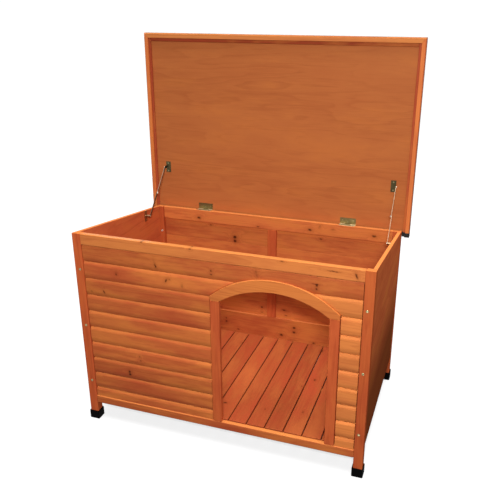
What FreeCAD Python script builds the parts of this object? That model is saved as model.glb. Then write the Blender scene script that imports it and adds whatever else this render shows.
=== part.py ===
import FreeCAD, Part
import math
import os

import Sketcher

# Flat-roofed wooden dog house with its lid propped open on two folding stays.
# Frame: X to the right, Y from the front wall to the rear wall, Z up, origin
# on the ground under the middle of the open house.  All sizes in millimetres.

SIZES = [
    # overall body
    ("width", 986.0, "outside width over the posts"),
    ("depth", 623.0, "outside depth over the posts"),
    ("front_height", 714.5, "ground to the front top edge"),
    ("rear_height", 620.4, "ground to the rear top edge"),
    ("front_y", -321.3, "Y of the front faces of the front posts"),
    ("post", 30.0, "side of the square corner posts"),
    # feet
    ("cap_wall", 3.5, "wall of a foot cap"),
    ("cap_floor", 3.0, "floor of a foot cap"),
    ("cap_height", 32.0, "height of a foot cap"),
    # front wall
    ("top_rail_height", 37.5, "front top rail, height"),
    ("top_rail_depth", 25.0, "front top rail, front to back"),
    ("bottom_rail_low", 69.0, "underside of the front bottom rail"),
    ("bottom_rail_high", 98.5, "top of the front bottom rail"),
    ("bottom_rail_depth", 16.0, "front bottom rail, front to back"),
    ("board_face", 3.0, "front board faces behind the post faces"),
    ("board_back", 16.0, "front board backs behind the post faces"),
    ("board_lip", 5.5, "depth of a board's rounded edge"),
    ("board_round", 13.0, "height of a board's rounded edge"),
    # door
    ("door_inset", 300.7, "middle of the doorway to the outer post face beside it"),
    ("door_width", 349.5, "clear width of the doorway"),
    ("jamb_width", 31.0, "width of a door jamb"),
    ("jamb_depth", 15.0, "door jamb and arch, front to back"),
    ("arch_proud", 1.5, "arch in front of the jambs"),
    ("arch_inner_rise", 56.0, "rise of the arch's inner curve"),
    ("arch_side", 14.0, "height of the arch's upright ends"),
    ("arch_outer_rise", 81.0, "rise of the arch's outer curve"),
    ("trim_gap", 0.3, "gap between the cut boards and the arch"),
    # side walls
    ("side_thickness", 12.0, "thickness of a side panel"),
    ("side_inset", 1.0, "side panel behind the outer post face"),
    ("side_low", 104.0, "underside of a side panel"),
    # back wall
    ("back_board_thickness", 12.0, "thickness of a back board"),
    ("back_low", 69.0, "underside of the lowest back board"),
    ("back_rail_thickness", 10.0, "inner top rail and batten, thickness"),
    ("back_rail_drop", 45.9, "rear top edge to the underside of the inner rail"),
    ("back_batten_width", 36.0, "width of the middle batten"),
    ("back_kick_thickness", 8.0, "inner bottom board, thickness"),
    ("back_kick_high", 191.5, "top of the inner bottom board"),
    # floor
    ("floor_high", 97.2, "top of the floor boards"),
    ("floor_thickness", 12.0, "thickness of a floor board"),
    ("floor_front", 22.5, "front ends of the floor boards"),
    ("floor_inset", 15.0, "floor edge inside the outer post face"),
    ("floor_gap", 4.0, "gap between floor boards"),
    ("floor_clearance", 0.5, "floor boards to the posts and back wall"),
    ("bearer_width", 20.0, "width of a floor bearer"),
    ("bearer_height", 25.0, "height of a floor bearer"),
    # lid: distances from the hinge pin along the lid and square to it
    ("pin_back", 6.0, "hinge pin behind the rear posts"),
    ("pin_drop", 0.7, "hinge pin below the slope of the wall tops"),
    ("lid_gap", 3.2, "hinge pin to the underside of the lid panel"),
    ("lid_open", 90.5, "tilt of the open lid from level"),
    ("lid_front_overhang", 40.37, "closed lid beyond the front posts, along the slope"),
    ("lid_rear", 20.5, "hinge pin to the rear end of the lid"),
    ("lid_side_overhang", 27.0, "lid beyond the posts at each side"),
    ("panel_thickness", 6.0, "thickness of the lid panel"),
    ("felt", 2.0, "thickness of the roofing felt"),
    ("felt_skirt", 10.0, "felt down the sides, from its underside"),
    ("felt_wrap", 14.0, "felt under the rear end"),
    ("rail_width", 14.0, "width of a side rail of the lid"),
    ("front_rail_width", 16.0, "width of the front rail of the lid"),
    ("batten_width", 8.5, "width of a side batten of the lid"),
    ("front_batten_width", 12.0, "width of the front batten of the lid"),
    ("batten_depth", 7.0, "batten below the lid panel"),
    ("rail_depth", 14.0, "rail below the lid panel"),
    # hinges
    ("hinge_inset", 203.0, "middle of a hinge from the outer post faces"),
    ("hinge_length", 60.0, "length of a hinge along its pin"),
    ("leaf_reach", 26.0, "hinge pin to the free edge of a leaf"),
    ("leaf_thickness", 1.2, "thickness of a leaf"),
    ("knuckle_radius", 2.9, "outer radius of a knuckle"),
    ("pin_radius", 1.5, "radius of a hinge pin"),
    ("bore_clearance", 0.05, "pin to bore, all round"),
    ("knuckle_gap", 0.2, "gap between neighbouring knuckles"),
    ("leaf_notch", 0.5, "leaf edge to the other leaf's knuckle"),
    ("middle_knuckle", 20.0, "length of the middle knuckle"),
    ("leaf_screw", 2.2, "radius of a countersunk hinge screw head"),
    ("screw_clearance", 0.3, "screw head to its hole"),
    # stays
    ("stay_plate_width", 19.0, "width of a stay bracket plate"),
    ("stay_plate_length", 43.0, "length of a stay bracket plate"),
    ("stay_plate_thickness", 1.5, "thickness of a stay bracket plate"),
    ("stay_inset", 22.5, "flange of a lid bracket to the side wall"),
    ("stay_lid_reach", 164.0, "hinge pin to the lid pivot, along the lid"),
    ("stay_lid_drop", 12.0, "lid pivot below the lid panel"),
    ("stay_wall_inset", 147.0, "wall pivot before the rear faces of the posts"),
    ("stay_wall_drop", 22.0, "wall pivot below the wall tops"),
    ("elbow_share", 0.47, "lower arm's share of the straight stay"),
    ("arm_thickness", 1.5, "thickness of a stay arm"),
    ("arm_radius", 4.5, "half width of a stay arm"),
    ("arm_gap", 0.3, "side gap between arms and brackets"),
    ("rivet_radius", 2.5, "radius of a stay rivet"),
    ("rivet_head", 4.0, "radius of a rivet head"),
    ("rivet_head_height", 1.0, "height of a rivet head"),
    ("boss_radius", 5.0, "radius of the wall bracket's spacer"),
    # screws
    ("post_screw_radius", 3.5, "radius of a post screw head"),
    ("post_screw_height", 1.2, "height of a post screw head"),
    ("post_screw_inset", 18.0, "post screw from the outer post face"),
    ("post_screw_low", 160.0, "height of the lowest post screws"),
    ("post_screw_drop", 126.5, "highest post screws below the front top edge"),
    ("plate_screw_radius", 2.6, "radius of a bracket screw head"),
    ("plate_screw_height", 1.0, "height of a bracket screw head"),
    ("plate_screw_pitch", 30.0, "distance between a bracket's two screws"),
]

BOARD_ROWS = 9
BACK_ROWS = 9
FLOOR_BOARDS = 15
ROWS_SEEN = 9.562  # rows of front boards between the rails, the lowest one cut
ARCH_ROWS = 2.1488  # rows of front boards above the feet of the arch
SCREW_SHARE = 0.514  # place of the middle post screw between the other two
PLANE_OF_AXIS = {"x": "YZ_Plane", "y": "XZ_Plane", "z": "XY_Plane"}

doc = FreeCAD.newDocument("DogHouse")
sheet = doc.addObject("Spreadsheet::Sheet", "Sizes")


class Size:
    """A length or angle that knows its formula in the sheet and its value."""

    def __init__(self, formula, value):
        self.formula = formula
        self.value = value

    def _join(self, sign, other, value):
        return Size("(%s %s %s)" % (self.formula, sign, other.formula), value)

    def __add__(self, other):
        other = as_size(other)
        return self._join("+", other, self.value + other.value)

    def __sub__(self, other):
        other = as_size(other)
        return self._join("-", other, self.value - other.value)

    def __mul__(self, other):
        other = as_size(other)
        return self._join("*", other, self.value * other.value)

    def __truediv__(self, other):
        other = as_size(other)
        return self._join("/", other, self.value / other.value)

    def __radd__(self, other):
        return as_size(other) + self

    def __rsub__(self, other):
        return as_size(other) - self

    def __rmul__(self, other):
        return as_size(other) * self

    def __neg__(self):
        return as_size(0) - self


def as_size(number):
    """Return the number as a Size, or the Size itself."""
    if isinstance(number, Size):
        return number
    return Size("(%.6g)" % number, float(number))


def sine(angle):
    return Size("sin(%s)" % angle.formula, math.sin(math.radians(angle.value)))


def cosine(angle):
    return Size("cos(%s)" % angle.formula, math.cos(math.radians(angle.value)))


def arctangent(rise, run):
    value = math.degrees(math.atan(rise.value / run.value))
    return Size("atan(%s / %s)" % (rise.formula, run.formula), value)


def root(number):
    return Size("sqrt(%s)" % number.formula, math.sqrt(number.value))


def arc_radius(half_chord, rise):
    """Radius of the arc over a chord of twice half_chord that rises by rise."""
    return (half_chord * half_chord + rise * rise) / (2 * rise)


D = {}
for row, (alias, number, meaning) in enumerate(SIZES, start=1):
    sheet.set("A%d" % row, meaning)
    sheet.set("B%d" % row, str(number))
    sheet.setAlias("B%d" % row, alias)
    D[alias] = Size("Sizes.%s" % alias, number)
doc.recompute()


# ---------------------------------------------------------------- modelling helpers

def bind(feature, prop, size):
    feature.setExpression(prop, as_size(size).formula)


def place(feature, x=0, y=0, z=0, axis=(1, 0, 0), angle=None):
    """Put a feature at x, y, z, turned about the axis by an angle in degrees."""
    sizes = [as_size(x), as_size(y), as_size(z)]
    turn = as_size(0 if angle is None else angle)
    feature.Placement = FreeCAD.Placement(
        FreeCAD.Vector(*[size.value for size in sizes]),
        FreeCAD.Rotation(FreeCAD.Vector(*axis), turn.value),
    )
    for letter, size in zip("xyz", sizes):
        bind(feature, "Placement.Base.%s" % letter, size)
    if angle is not None:
        bind(feature, "Placement.Rotation.Angle", turn)


def sketch_on(body, name, axis, level):
    """Sketch square to an axis of the body, at the given level on that axis."""
    sketch = body.newObject("Sketcher::SketchObject", name)
    role = PLANE_OF_AXIS[axis]
    plane = [p for p in body.Origin.OriginFeatures if p.Role == role][0]
    sketch.AttachmentSupport = [(plane, "")]
    sketch.MapMode = "FlatFace"
    offset = -as_size(level) if axis == "y" else as_size(level)
    sketch.AttachmentOffset = FreeCAD.Placement(
        FreeCAD.Vector(0, 0, offset.value), FreeCAD.Rotation()
    )
    bind(sketch, "AttachmentOffset.Base.z", offset)
    return sketch


def pin_point(sketch, edge, end, point):
    """Hold one end of an edge at the given sketch coordinates."""
    for kind, size in zip(("DistanceX", "DistanceY"), point):
        size = as_size(size)
        index = sketch.addConstraint(Sketcher.Constraint(kind, -1, 1, edge, end, size.value))
        sketch.setExpression("Constraints[%d]" % index, size.formula)


def arc_middle(start, end, radius, side):
    """Middle of the shorter arc from start to end, bulging to the given side."""
    chord = end - start
    half = chord.Length / 2
    sag = radius - math.sqrt(radius * radius - half * half)
    outward = FreeCAD.Vector(chord.y, -chord.x, 0).normalize()
    return (start + end) * 0.5 + outward * (sag * side)


def draw_outline(sketch, points, arcs=None):
    """Close an outline through the points.  arcs maps an edge to (radius, side)."""
    arcs = arcs or {}
    corners = [FreeCAD.Vector(as_size(u).value, as_size(v).value, 0) for u, v in points]
    count = len(points)
    first = sketch.GeometryCount
    for edge in range(count):
        start, end = corners[edge], corners[(edge + 1) % count]
        if edge in arcs:
            radius, side = arcs[edge]
            middle = arc_middle(start, end, radius.value, side)
            sketch.addGeometry(Part.Arc(start, middle, end), False)
        else:
            sketch.addGeometry(Part.LineSegment(start, end), False)
    # a sketch counts an arc's ends anticlockwise, so a clockwise one starts at its end 2
    starts = [2 if edge in arcs and arcs[edge][1] < 0 else 1 for edge in range(count)]
    for edge in range(count):
        after = (edge + 1) % count
        sketch.addConstraint(
            Sketcher.Constraint(
                "Coincident", first + edge, 3 - starts[edge], first + after, starts[after]
            )
        )
        pin_point(sketch, first + edge, starts[edge], points[edge])
    for edge, (radius, side) in arcs.items():
        index = sketch.addConstraint(
            Sketcher.Constraint("Radius", first + edge, radius.value)
        )
        sketch.setExpression("Constraints[%d]" % index, radius.formula)


def pad(body, sketch, length):
    feature = body.newObject("PartDesign::Pad", sketch.Name + "_pad")
    feature.Profile = sketch
    bind(feature, "Length", length)
    sketch.Visibility = False
    return feature


def pocket(body, sketch, depth, against_normal=False):
    """Cut the sketch into the body and check that something went."""
    doc.recompute()
    before = body.Shape.Volume
    feature = body.newObject("PartDesign::Pocket", sketch.Name + "_pocket")
    feature.Profile = sketch
    feature.Reversed = against_normal
    bind(feature, "Length", depth)
    doc.recompute()
    if feature.Shape.Volume > before - 0.1:
        raise RuntimeError("nothing was cut from " + body.Label)
    return feature


def extrusion(name, axis, points, low, high, arcs=None):
    """Body with the outline in the plane square to an axis, from low to high."""
    body = doc.addObject("PartDesign::Body", name)
    low, high = as_size(low), as_size(high)
    level = high if axis == "y" else low
    sketch = sketch_on(body, name + "_outline", axis, level)
    draw_outline(sketch, points, arcs)
    pad(body, sketch, high - low)
    return body


def rectangle(u_low, u_high, v_low, v_high):
    return [(u_low, v_low), (u_high, v_low), (u_high, v_high), (u_low, v_high)]


def block(name, x, y, z):
    """Part::Box between the (low, high) pairs on the three axes."""
    box = doc.addObject("Part::Box", name)
    for prop, (low, high) in zip(("Length", "Width", "Height"), (x, y, z)):
        bind(box, prop, as_size(high) - as_size(low))
    place(box, x[0], y[0], z[0])
    return box


def cylinder_x(name, x, y, z, radius):
    """Part::Cylinder along X between the (low, high) pair x, round y, z."""
    rod = doc.addObject("Part::Cylinder", name)
    bind(rod, "Radius", radius)
    bind(rod, "Height", as_size(x[1]) - as_size(x[0]))
    place(rod, x[0], y, z, axis=(0, 1, 0), angle=90)
    return rod


def cylinder_y(name, x, y, z, radius):
    """Part::Cylinder along Y between the (low, high) pair y, round x, z."""
    rod = doc.addObject("Part::Cylinder", name)
    bind(rod, "Radius", radius)
    bind(rod, "Height", as_size(y[1]) - as_size(y[0]))
    place(rod, x, y[1], z, axis=(1, 0, 0), angle=90)
    return rod


def cylinder_z(name, x, y, z, radius):
    """Part::Cylinder along Z between the (low, high) pair z, round x, y."""
    rod = doc.addObject("Part::Cylinder", name)
    bind(rod, "Radius", radius)
    bind(rod, "Height", as_size(z[1]) - as_size(z[0]))
    place(rod, x, y, z[0])
    return rod


def fused(name, pieces):
    feature = doc.addObject("Part::MultiFuse", name)
    feature.Shapes = pieces
    return feature


def cut(name, base, tool):
    feature = doc.addObject("Part::Cut", name)
    feature.Base = base
    feature.Tool = tool
    return feature


def group(name, pieces):
    feature = doc.addObject("Part::Compound", name)
    feature.Links = pieces
    return feature


NODES = []


def node(feature):
    """Mark a finished piece as one named node of the house."""
    feature.Label = feature.Name
    NODES.append(feature)
    return feature


# ---------------------------------------------------------------- shared places

half_width = D["width"] / 2
front = D["front_y"]
rear = front + D["depth"]
inner_half = half_width - D["post"]
slope_rise = D["front_height"] - D["rear_height"]
slope = arctangent(slope_rise, D["depth"])


def top_at(y):
    """Height of the sloping wall tops at a given Y."""
    return D["front_height"] - slope_rise * (y - front) / D["depth"]


def sloped(y_low, y_high, z_low):
    """Outline seen from the side: level underneath, cut to the roof slope."""
    return [
        (y_low, z_low),
        (y_high, z_low),
        (y_high, top_at(y_high)),
        (y_low, top_at(y_low)),
    ]


# ---------------------------------------------------------------- posts and feet

def make_posts():
    for side, x_low in (("left", -half_width), ("right", inner_half)):
        for end, y_low in (("front", front), ("rear", rear - D["post"])):
            outline = sloped(y_low, y_low + D["post"], D["cap_floor"])
            name = "post_%s_%s" % (end, side)
            node(extrusion(name, "x", outline, x_low, x_low + D["post"]))


def make_foot_caps():
    caps = []
    for side, x_low in (("left", -half_width), ("right", inner_half)):
        for end, y_low in (("front", front), ("rear", rear - D["post"])):
            name = "foot_cap_%s_%s" % (end, side)
            x_high, y_high = x_low + D["post"], y_low + D["post"]
            wall = D["cap_wall"]
            cup = block(
                name + "_cup",
                (x_low - wall, x_high + wall),
                (y_low - wall, y_high + wall),
                (0, D["cap_height"]),
            )
            hollow = block(
                name + "_hollow",
                (x_low, x_high),
                (y_low, y_high),
                (D["cap_floor"], D["cap_height"] + D["cap_floor"]),
            )
            caps.append(cut(name, cup, hollow))
    node(group("foot_caps", caps))


# ---------------------------------------------------------------- front wall

board_front = front + D["board_face"]
board_edge = board_front + D["board_lip"]
board_rear = front + D["board_back"]
boards_high = D["front_height"] - D["top_rail_height"]
door_low = D["bottom_rail_high"]
door_centre = half_width - D["door_inset"]
half_door = D["door_width"] / 2
half_frame = half_door + D["jamb_width"]
board_pitch = (boards_high - door_low) / ROWS_SEEN
jamb_top = boards_high - board_pitch * ARCH_ROWS
arch_shoulder = jamb_top + D["arch_side"]


def board_outline(z_low, z_high, face, edge, back, round_low=True):
    """End view of a board whose outer face rolls over at its long edges."""
    roll = D["board_round"]
    radius = arc_radius(roll, D["board_lip"])
    side = 1 if face.value < back.value else -1
    points = [(back, z_low), (back, z_high), (edge, z_high), (face, z_high - roll)]
    arcs = {2: (radius, -side)}
    if round_low:
        points += [(face, z_low + roll), (edge, z_low)]
        arcs[4] = (radius, -side)
    else:
        points += [(face, z_low)]
    return points, arcs


def front_board(name, row, x_low, x_high):
    """Front board of a row, counted from the top rail down; 10 is the half board."""
    z_high = boards_high - board_pitch * (row - 1)
    lowest = row > BOARD_ROWS
    z_low = door_low if lowest else z_high - board_pitch
    points, arcs = board_outline(
        z_low, z_high, board_front, board_edge, board_rear, round_low=not lowest
    )
    return extrusion(name, "x", points, x_low, x_high, arcs)


def arch_outline(half, shoulder, rise, low):
    """Outline of a flat-footed arch with upright ends, about the doorway."""
    centre = door_centre
    points = [
        (centre - half, low),
        (centre - half, shoulder),
        (centre + half, shoulder),
        (centre + half, low),
    ]
    return points, {1: (arc_radius(half, rise), -1)}


def cut_for_arch(body):
    """Trim a front board round the outside of the door arch."""
    gap = D["trim_gap"]
    points, arcs = arch_outline(
        half_frame + gap,
        arch_shoulder,
        D["arch_outer_rise"] + gap,
        jamb_top - board_pitch,
    )
    sketch = sketch_on(body, body.Name + "_arch_cut", "y", board_rear)
    draw_outline(sketch, points, arcs)
    pocket(body, sketch, D["board_back"], against_normal=True)


def make_front_wall():
    rail = sloped(front, front + D["top_rail_depth"], boards_high)
    node(extrusion("front_top_rail", "x", rail, -inner_half, inner_half))
    low_rail = rectangle(
        front,
        front + D["bottom_rail_depth"],
        D["bottom_rail_low"],
        D["bottom_rail_high"],
    )
    node(extrusion("front_bottom_rail", "x", low_rail, -inner_half, inner_half))

    top_board = front_board("front_board_01", 1, -inner_half, inner_half)
    cut_for_arch(top_board)
    node(top_board)
    frame_left = door_centre - half_frame
    frame_right = door_centre + half_frame
    right_boards = []
    for row in range(2, BOARD_ROWS + 2):
        left_end = door_centre if row == 2 else frame_left
        left = front_board("front_board_left_%02d" % row, row, -inner_half, left_end)
        right_end = door_centre if row == 2 else frame_right
        right = front_board("front_board_right_%02d" % row, row, right_end, inner_half)
        if row == 2:
            cut_for_arch(left)
            cut_for_arch(right)
        node(left)
        right_boards.append(right)
    node(group("front_boards_right", right_boards))


def make_door_frame():
    for side, inner, outer in (
        ("left", door_centre - half_door, door_centre - half_frame),
        ("right", door_centre + half_door, door_centre + half_frame),
    ):
        low, high = (outer, inner) if side == "left" else (inner, outer)
        jamb = rectangle(low, high, door_low, jamb_top)
        node(extrusion("door_jamb_" + side, "y", jamb, front, front + D["jamb_depth"]))

    centre = door_centre
    points = [
        (centre - half_frame, jamb_top),
        (centre - half_frame, arch_shoulder),
        (centre + half_frame, arch_shoulder),
        (centre + half_frame, jamb_top),
        (centre + half_door, jamb_top),
        (centre - half_door, jamb_top),
    ]
    arcs = {
        1: (arc_radius(half_frame, D["arch_outer_rise"]), -1),
        4: (arc_radius(half_door, D["arch_inner_rise"]), 1),
    }
    face = front - D["arch_proud"]
    node(extrusion("door_arch", "y", points, face, front + D["jamb_depth"], arcs))


# ---------------------------------------------------------------- side and back walls

side_inner = half_width - D["side_inset"] - D["side_thickness"]
back_inner = rear - D["back_board_thickness"]
back_rail_face = back_inner - D["back_rail_thickness"]
back_rail_low = D["rear_height"] - D["back_rail_drop"]


def make_side_walls():
    outline = sloped(front + D["post"], rear - D["post"], D["side_low"])
    outer = half_width - D["side_inset"]
    node(extrusion("side_panel_left", "x", outline, -outer, -side_inner))
    node(extrusion("side_panel_right", "x", outline, side_inner, outer))


def make_back_wall():
    edge = rear - D["board_lip"]
    pitch = (D["rear_height"] - D["back_low"]) / BACK_ROWS
    boards = []
    for row in range(BACK_ROWS):
        z_low = D["back_low"] + pitch * row
        if row < BACK_ROWS - 1:
            points, arcs = board_outline(z_low, z_low + pitch, rear, edge, back_inner)
        else:
            points = [
                (back_inner, z_low),
                (back_inner, top_at(back_inner)),
                (rear, top_at(rear)),
                (rear, z_low + D["board_round"]),
                (edge, z_low),
            ]
            arcs = {3: (arc_radius(D["board_round"], D["board_lip"]), 1)}
        name = "back_board_%02d" % (row + 1)
        boards.append(extrusion(name, "x", points, -inner_half, inner_half, arcs))
    node(group("back_boards", boards))

    rail = sloped(back_rail_face, back_inner, back_rail_low)
    node(extrusion("back_top_rail", "x", rail, -inner_half, inner_half))
    half_batten = D["back_batten_width"] / 2
    batten = rectangle(-half_batten, half_batten, D["back_kick_high"], back_rail_low)
    node(extrusion("back_batten", "y", batten, back_rail_face, back_inner))
    kick_face = back_inner - D["back_kick_thickness"]
    kick = rectangle(kick_face, back_inner, floor_low, D["back_kick_high"])
    node(extrusion("back_kick_board", "x", kick, -inner_half, inner_half))


# ---------------------------------------------------------------- floor

floor_low = D["floor_high"] - D["floor_thickness"]


def make_floor():
    floor_half = half_width - D["floor_inset"]
    pitch = (2 * floor_half + D["floor_gap"]) / FLOOR_BOARDS
    kick_face = back_inner - D["back_kick_thickness"]
    boards = []
    for index in range(FLOOR_BOARDS):
        outermost = index in (0, FLOOR_BOARDS - 1)
        y_low = front + D["post"] + D["floor_clearance"] if outermost else front + D["floor_front"]
        y_high = rear - D["post"] if outermost else kick_face
        x_low = -floor_half + pitch * index
        boards.append(
            block(
                "floor_board_%02d" % (index + 1),
                (x_low, x_low + pitch - D["floor_gap"]),
                (y_low, y_high - D["floor_clearance"]),
                (floor_low, D["floor_high"]),
            )
        )
    node(group("floor_boards", boards))


def make_floor_bearers():
    width = D["bearer_width"]
    span = (-inner_half, inner_half)
    height = (floor_low - D["bearer_height"], floor_low)
    rail_back = front + D["bottom_rail_depth"]
    middle = (rail_back + back_inner) / 2
    cleats = [
        block("floor_cleat_front", span, (rail_back, rail_back + width), height),
        block("floor_cleat_rear", span, (back_inner - width, back_inner), height),
    ]
    node(group("floor_cleats", cleats))
    node(block("floor_joist", span, (middle - width / 2, middle + width / 2), height))
    along = (front + D["post"], rear - D["post"])
    left = (-inner_half - width, -inner_half)
    right = (inner_half, inner_half + width)
    bearers = [
        block("floor_bearer_left", left, along, height),
        block("floor_bearer_right", right, along, height),
    ]
    node(group("floor_side_bearers", bearers))


# ---------------------------------------------------------------- lid

pin_y = rear + D["pin_back"]
pin_z = top_at(pin_y) - D["pin_drop"] / cosine(slope)
panel_low = D["lid_gap"]
panel_high = panel_low + D["panel_thickness"]
felt_high = panel_high + D["felt"]
lid_half = half_width + D["lid_side_overhang"]
lid_front = (D["depth"] + D["pin_back"]) / cosine(slope) + D["lid_front_overhang"]
wood_half = lid_half - D["felt"]
wood_front = lid_front - D["felt"]
wood_rear = D["lid_rear"] - D["felt"]
rail_inner = wood_half - D["rail_width"]
batten_inner = rail_inner - D["batten_width"]
batten_low = panel_low - D["batten_depth"]
rail_low = panel_low - D["rail_depth"]


def on_lid(feature):
    """Carry a piece made level about the hinge pin to the open lid."""
    place(feature, 0, pin_y, pin_z, axis=(-1, 0, 0), angle=D["lid_open"])
    return feature


def on_wall_top(feature):
    """Carry a piece made level about the hinge pin to the slope of the wall tops."""
    place(feature, 0, pin_y, pin_z, axis=(-1, 0, 0), angle=slope)
    return feature


def lid_bar(name, x_low, x_high, near, far, z_low):
    """Straight bar under the lid panel, between two distances from the pin."""
    outline = rectangle(x_low, x_high, z_low, panel_low)
    node(on_lid(extrusion(name, "y", outline, -as_size(far), -as_size(near))))


def make_lid_wood():
    panel = rectangle(-wood_half, wood_half, panel_low, panel_high)
    node(on_lid(extrusion("lid_panel", "y", panel, -wood_front, wood_rear)))
    batten_front = wood_front - D["front_rail_width"]
    batten_back = batten_front - D["front_batten_width"]
    lid_bar("lid_rail_left", -wood_half, -rail_inner, -wood_rear, wood_front, rail_low)
    lid_bar("lid_rail_right", rail_inner, wood_half, -wood_rear, wood_front, rail_low)
    lid_bar("lid_rail_front", -rail_inner, rail_inner, batten_front, wood_front, rail_low)
    lid_bar("lid_batten_left", -rail_inner, -batten_inner, -wood_rear, batten_front, batten_low)
    lid_bar("lid_batten_right", batten_inner, rail_inner, -wood_rear, batten_front, batten_low)
    lid_bar("lid_batten_front", -batten_inner, batten_inner, batten_back, batten_front, batten_low)


def stepped_section(grow):
    """Section across the rear end of the lid, grown outwards by a thickness."""
    half = wood_half + grow
    rail = rail_inner - grow
    batten = batten_inner - grow
    return [
        (-half, panel_high),
        (-half, rail_low - grow),
        (-rail, rail_low - grow),
        (-rail, batten_low - grow),
        (-batten, batten_low - grow),
        (-batten, panel_low - grow),
        (batten, panel_low - grow),
        (batten, batten_low - grow),
        (rail, batten_low - grow),
        (rail, rail_low - grow),
        (half, rail_low - grow),
        (half, panel_high),
    ]


def make_roof_felt():
    """Felt over the lid, turned down its edges and wrapped under its rear end."""
    felt = D["felt"]
    skirt_low = panel_high - D["felt_skirt"]
    body = doc.addObject("PartDesign::Body", "roof_felt")
    wrap = sketch_on(body, "roof_felt_wrap", "y", D["lid_rear"])
    draw_outline(wrap, stepped_section(felt))
    pad(body, wrap, felt + D["felt_wrap"])
    hollow = sketch_on(body, "roof_felt_hollow", "y", wood_rear)
    draw_outline(hollow, stepped_section(as_size(0)))
    pocket(body, hollow, D["felt_wrap"], against_normal=True)
    sheet_sketch = sketch_on(body, "roof_felt_sheet", "y", D["lid_rear"])
    outer, inner = lid_half, wood_half
    draw_outline(
        sheet_sketch,
        [
            (-outer, skirt_low),
            (-inner, skirt_low),
            (-inner, panel_high),
            (inner, panel_high),
            (inner, skirt_low),
            (outer, skirt_low),
            (outer, felt_high),
            (-outer, felt_high),
        ],
    )
    pad(body, sheet_sketch, D["lid_rear"] + lid_front)
    hem = sketch_on(body, "roof_felt_hem", "y", -wood_front)
    draw_outline(hem, rectangle(-outer, outer, skirt_low, felt_high))
    pad(body, hem, felt)
    node(on_lid(body))


# ---------------------------------------------------------------- hinges

def hinge_leaf(name, middle_x, low, knuckles):
    """Leaf of a hinge, level about the pin: plate, tabs and bored knuckles."""
    half = D["hinge_length"] / 2
    notch = D["knuckle_radius"] + D["leaf_notch"]
    high = low + D["leaf_thickness"]
    pieces = [
        block(
            name + "_plate",
            (middle_x - half, middle_x + half),
            (-D["leaf_reach"], -notch),
            (low, high),
        )
    ]
    for index, (start, end) in enumerate(knuckles, start=1):
        span = (middle_x + start, middle_x + end)
        pieces.append(block("%s_tab_%d" % (name, index), span, (-notch, 0), (low, high)))
        pieces.append(
            cylinder_x("%s_knuckle_%d" % (name, index), span, 0, 0, D["knuckle_radius"])
        )
    solid = fused(name + "_solid", pieces)
    reach = (middle_x - D["hinge_length"], middle_x + D["hinge_length"])
    bore_radius = D["pin_radius"] + D["bore_clearance"]
    tools = [cylinder_x(name + "_bore", reach, 0, 0, bore_radius)]
    for index, (x, y) in enumerate(leaf_screw_places(middle_x), start=1):
        hole = D["leaf_screw"] + D["screw_clearance"]
        tools.append(
            cylinder_z("%s_hole_%d" % (name, index), x, y, (low - 1, high + 1), hole)
        )
    return cut(name, solid, fused(name + "_cuts", tools))


def leaf_screw_places(middle_x):
    """Three screws in a leaf: two near its free edge, one near the pin."""
    reach = D["leaf_reach"]
    spread = D["hinge_length"] / 3
    return [
        (middle_x - spread, -reach * 0.66),
        (middle_x, -reach * 0.4),
        (middle_x + spread, -reach * 0.66),
    ]


def make_hinges():
    half = D["hinge_length"] / 2
    middle = D["middle_knuckle"] / 2
    gap = D["knuckle_gap"] / 2
    wall_low = D["pin_drop"]
    lid_low = D["lid_gap"] - D["leaf_thickness"]
    wall_leaves, lid_leaves, pins = [], [], []
    wall_screws, lid_screws = [], []
    place_x = half_width - D["hinge_inset"]
    for side, x in (("left", -place_x), ("right", place_x)):
        outer_knuckles = [(-half, -middle - gap), (middle + gap, half)]
        inner_knuckle = [(-middle + gap, middle - gap)]
        wall_leaves.append(hinge_leaf("hinge_wall_leaf_" + side, x, wall_low, outer_knuckles))
        lid_leaves.append(hinge_leaf("hinge_lid_leaf_" + side, x, lid_low, inner_knuckle))
        span = (x - half, x + half)
        pins.append(cylinder_x("hinge_pin_" + side, span, pin_y, pin_z, D["pin_radius"]))
        for index, (screw_x, screw_y) in enumerate(leaf_screw_places(x), start=1):
            for screws, name, low in (
                (wall_screws, "wall", wall_low),
                (lid_screws, "lid", lid_low),
            ):
                screws.append(
                    cylinder_z(
                        "hinge_%s_screw_%s_%d" % (name, side, index),
                        screw_x,
                        screw_y,
                        (low, low + D["leaf_thickness"]),
                        D["leaf_screw"],
                    )
                )
    node(on_wall_top(group("hinge_wall_leaves", wall_leaves)))
    node(on_lid(group("hinge_lid_leaves", lid_leaves)))
    node(group("hinge_pins", pins))
    node(on_wall_top(group("hinge_wall_screws", wall_screws)))
    node(on_lid(group("hinge_lid_screws", lid_screws)))


# ---------------------------------------------------------------- stays

lid_pivot_down = D["lid_gap"] - D["stay_lid_drop"]
lid_cosine, lid_sine = cosine(D["lid_open"]), sine(D["lid_open"])
lid_pivot_y = pin_y - D["stay_lid_reach"] * lid_cosine + lid_pivot_down * lid_sine
lid_pivot_z = pin_z + D["stay_lid_reach"] * lid_sine + lid_pivot_down * lid_cosine
wall_pivot_y = rear - D["stay_wall_inset"]
wall_pivot_z = top_at(wall_pivot_y) - D["stay_wall_drop"]
stay_run = lid_pivot_y - wall_pivot_y
stay_rise = lid_pivot_z - wall_pivot_z
stay_length = root(stay_run * stay_run + stay_rise * stay_rise)
stay_angle = arctangent(stay_rise, stay_run)
lower_length = stay_length * D["elbow_share"]
upper_length = stay_length - lower_length

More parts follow.
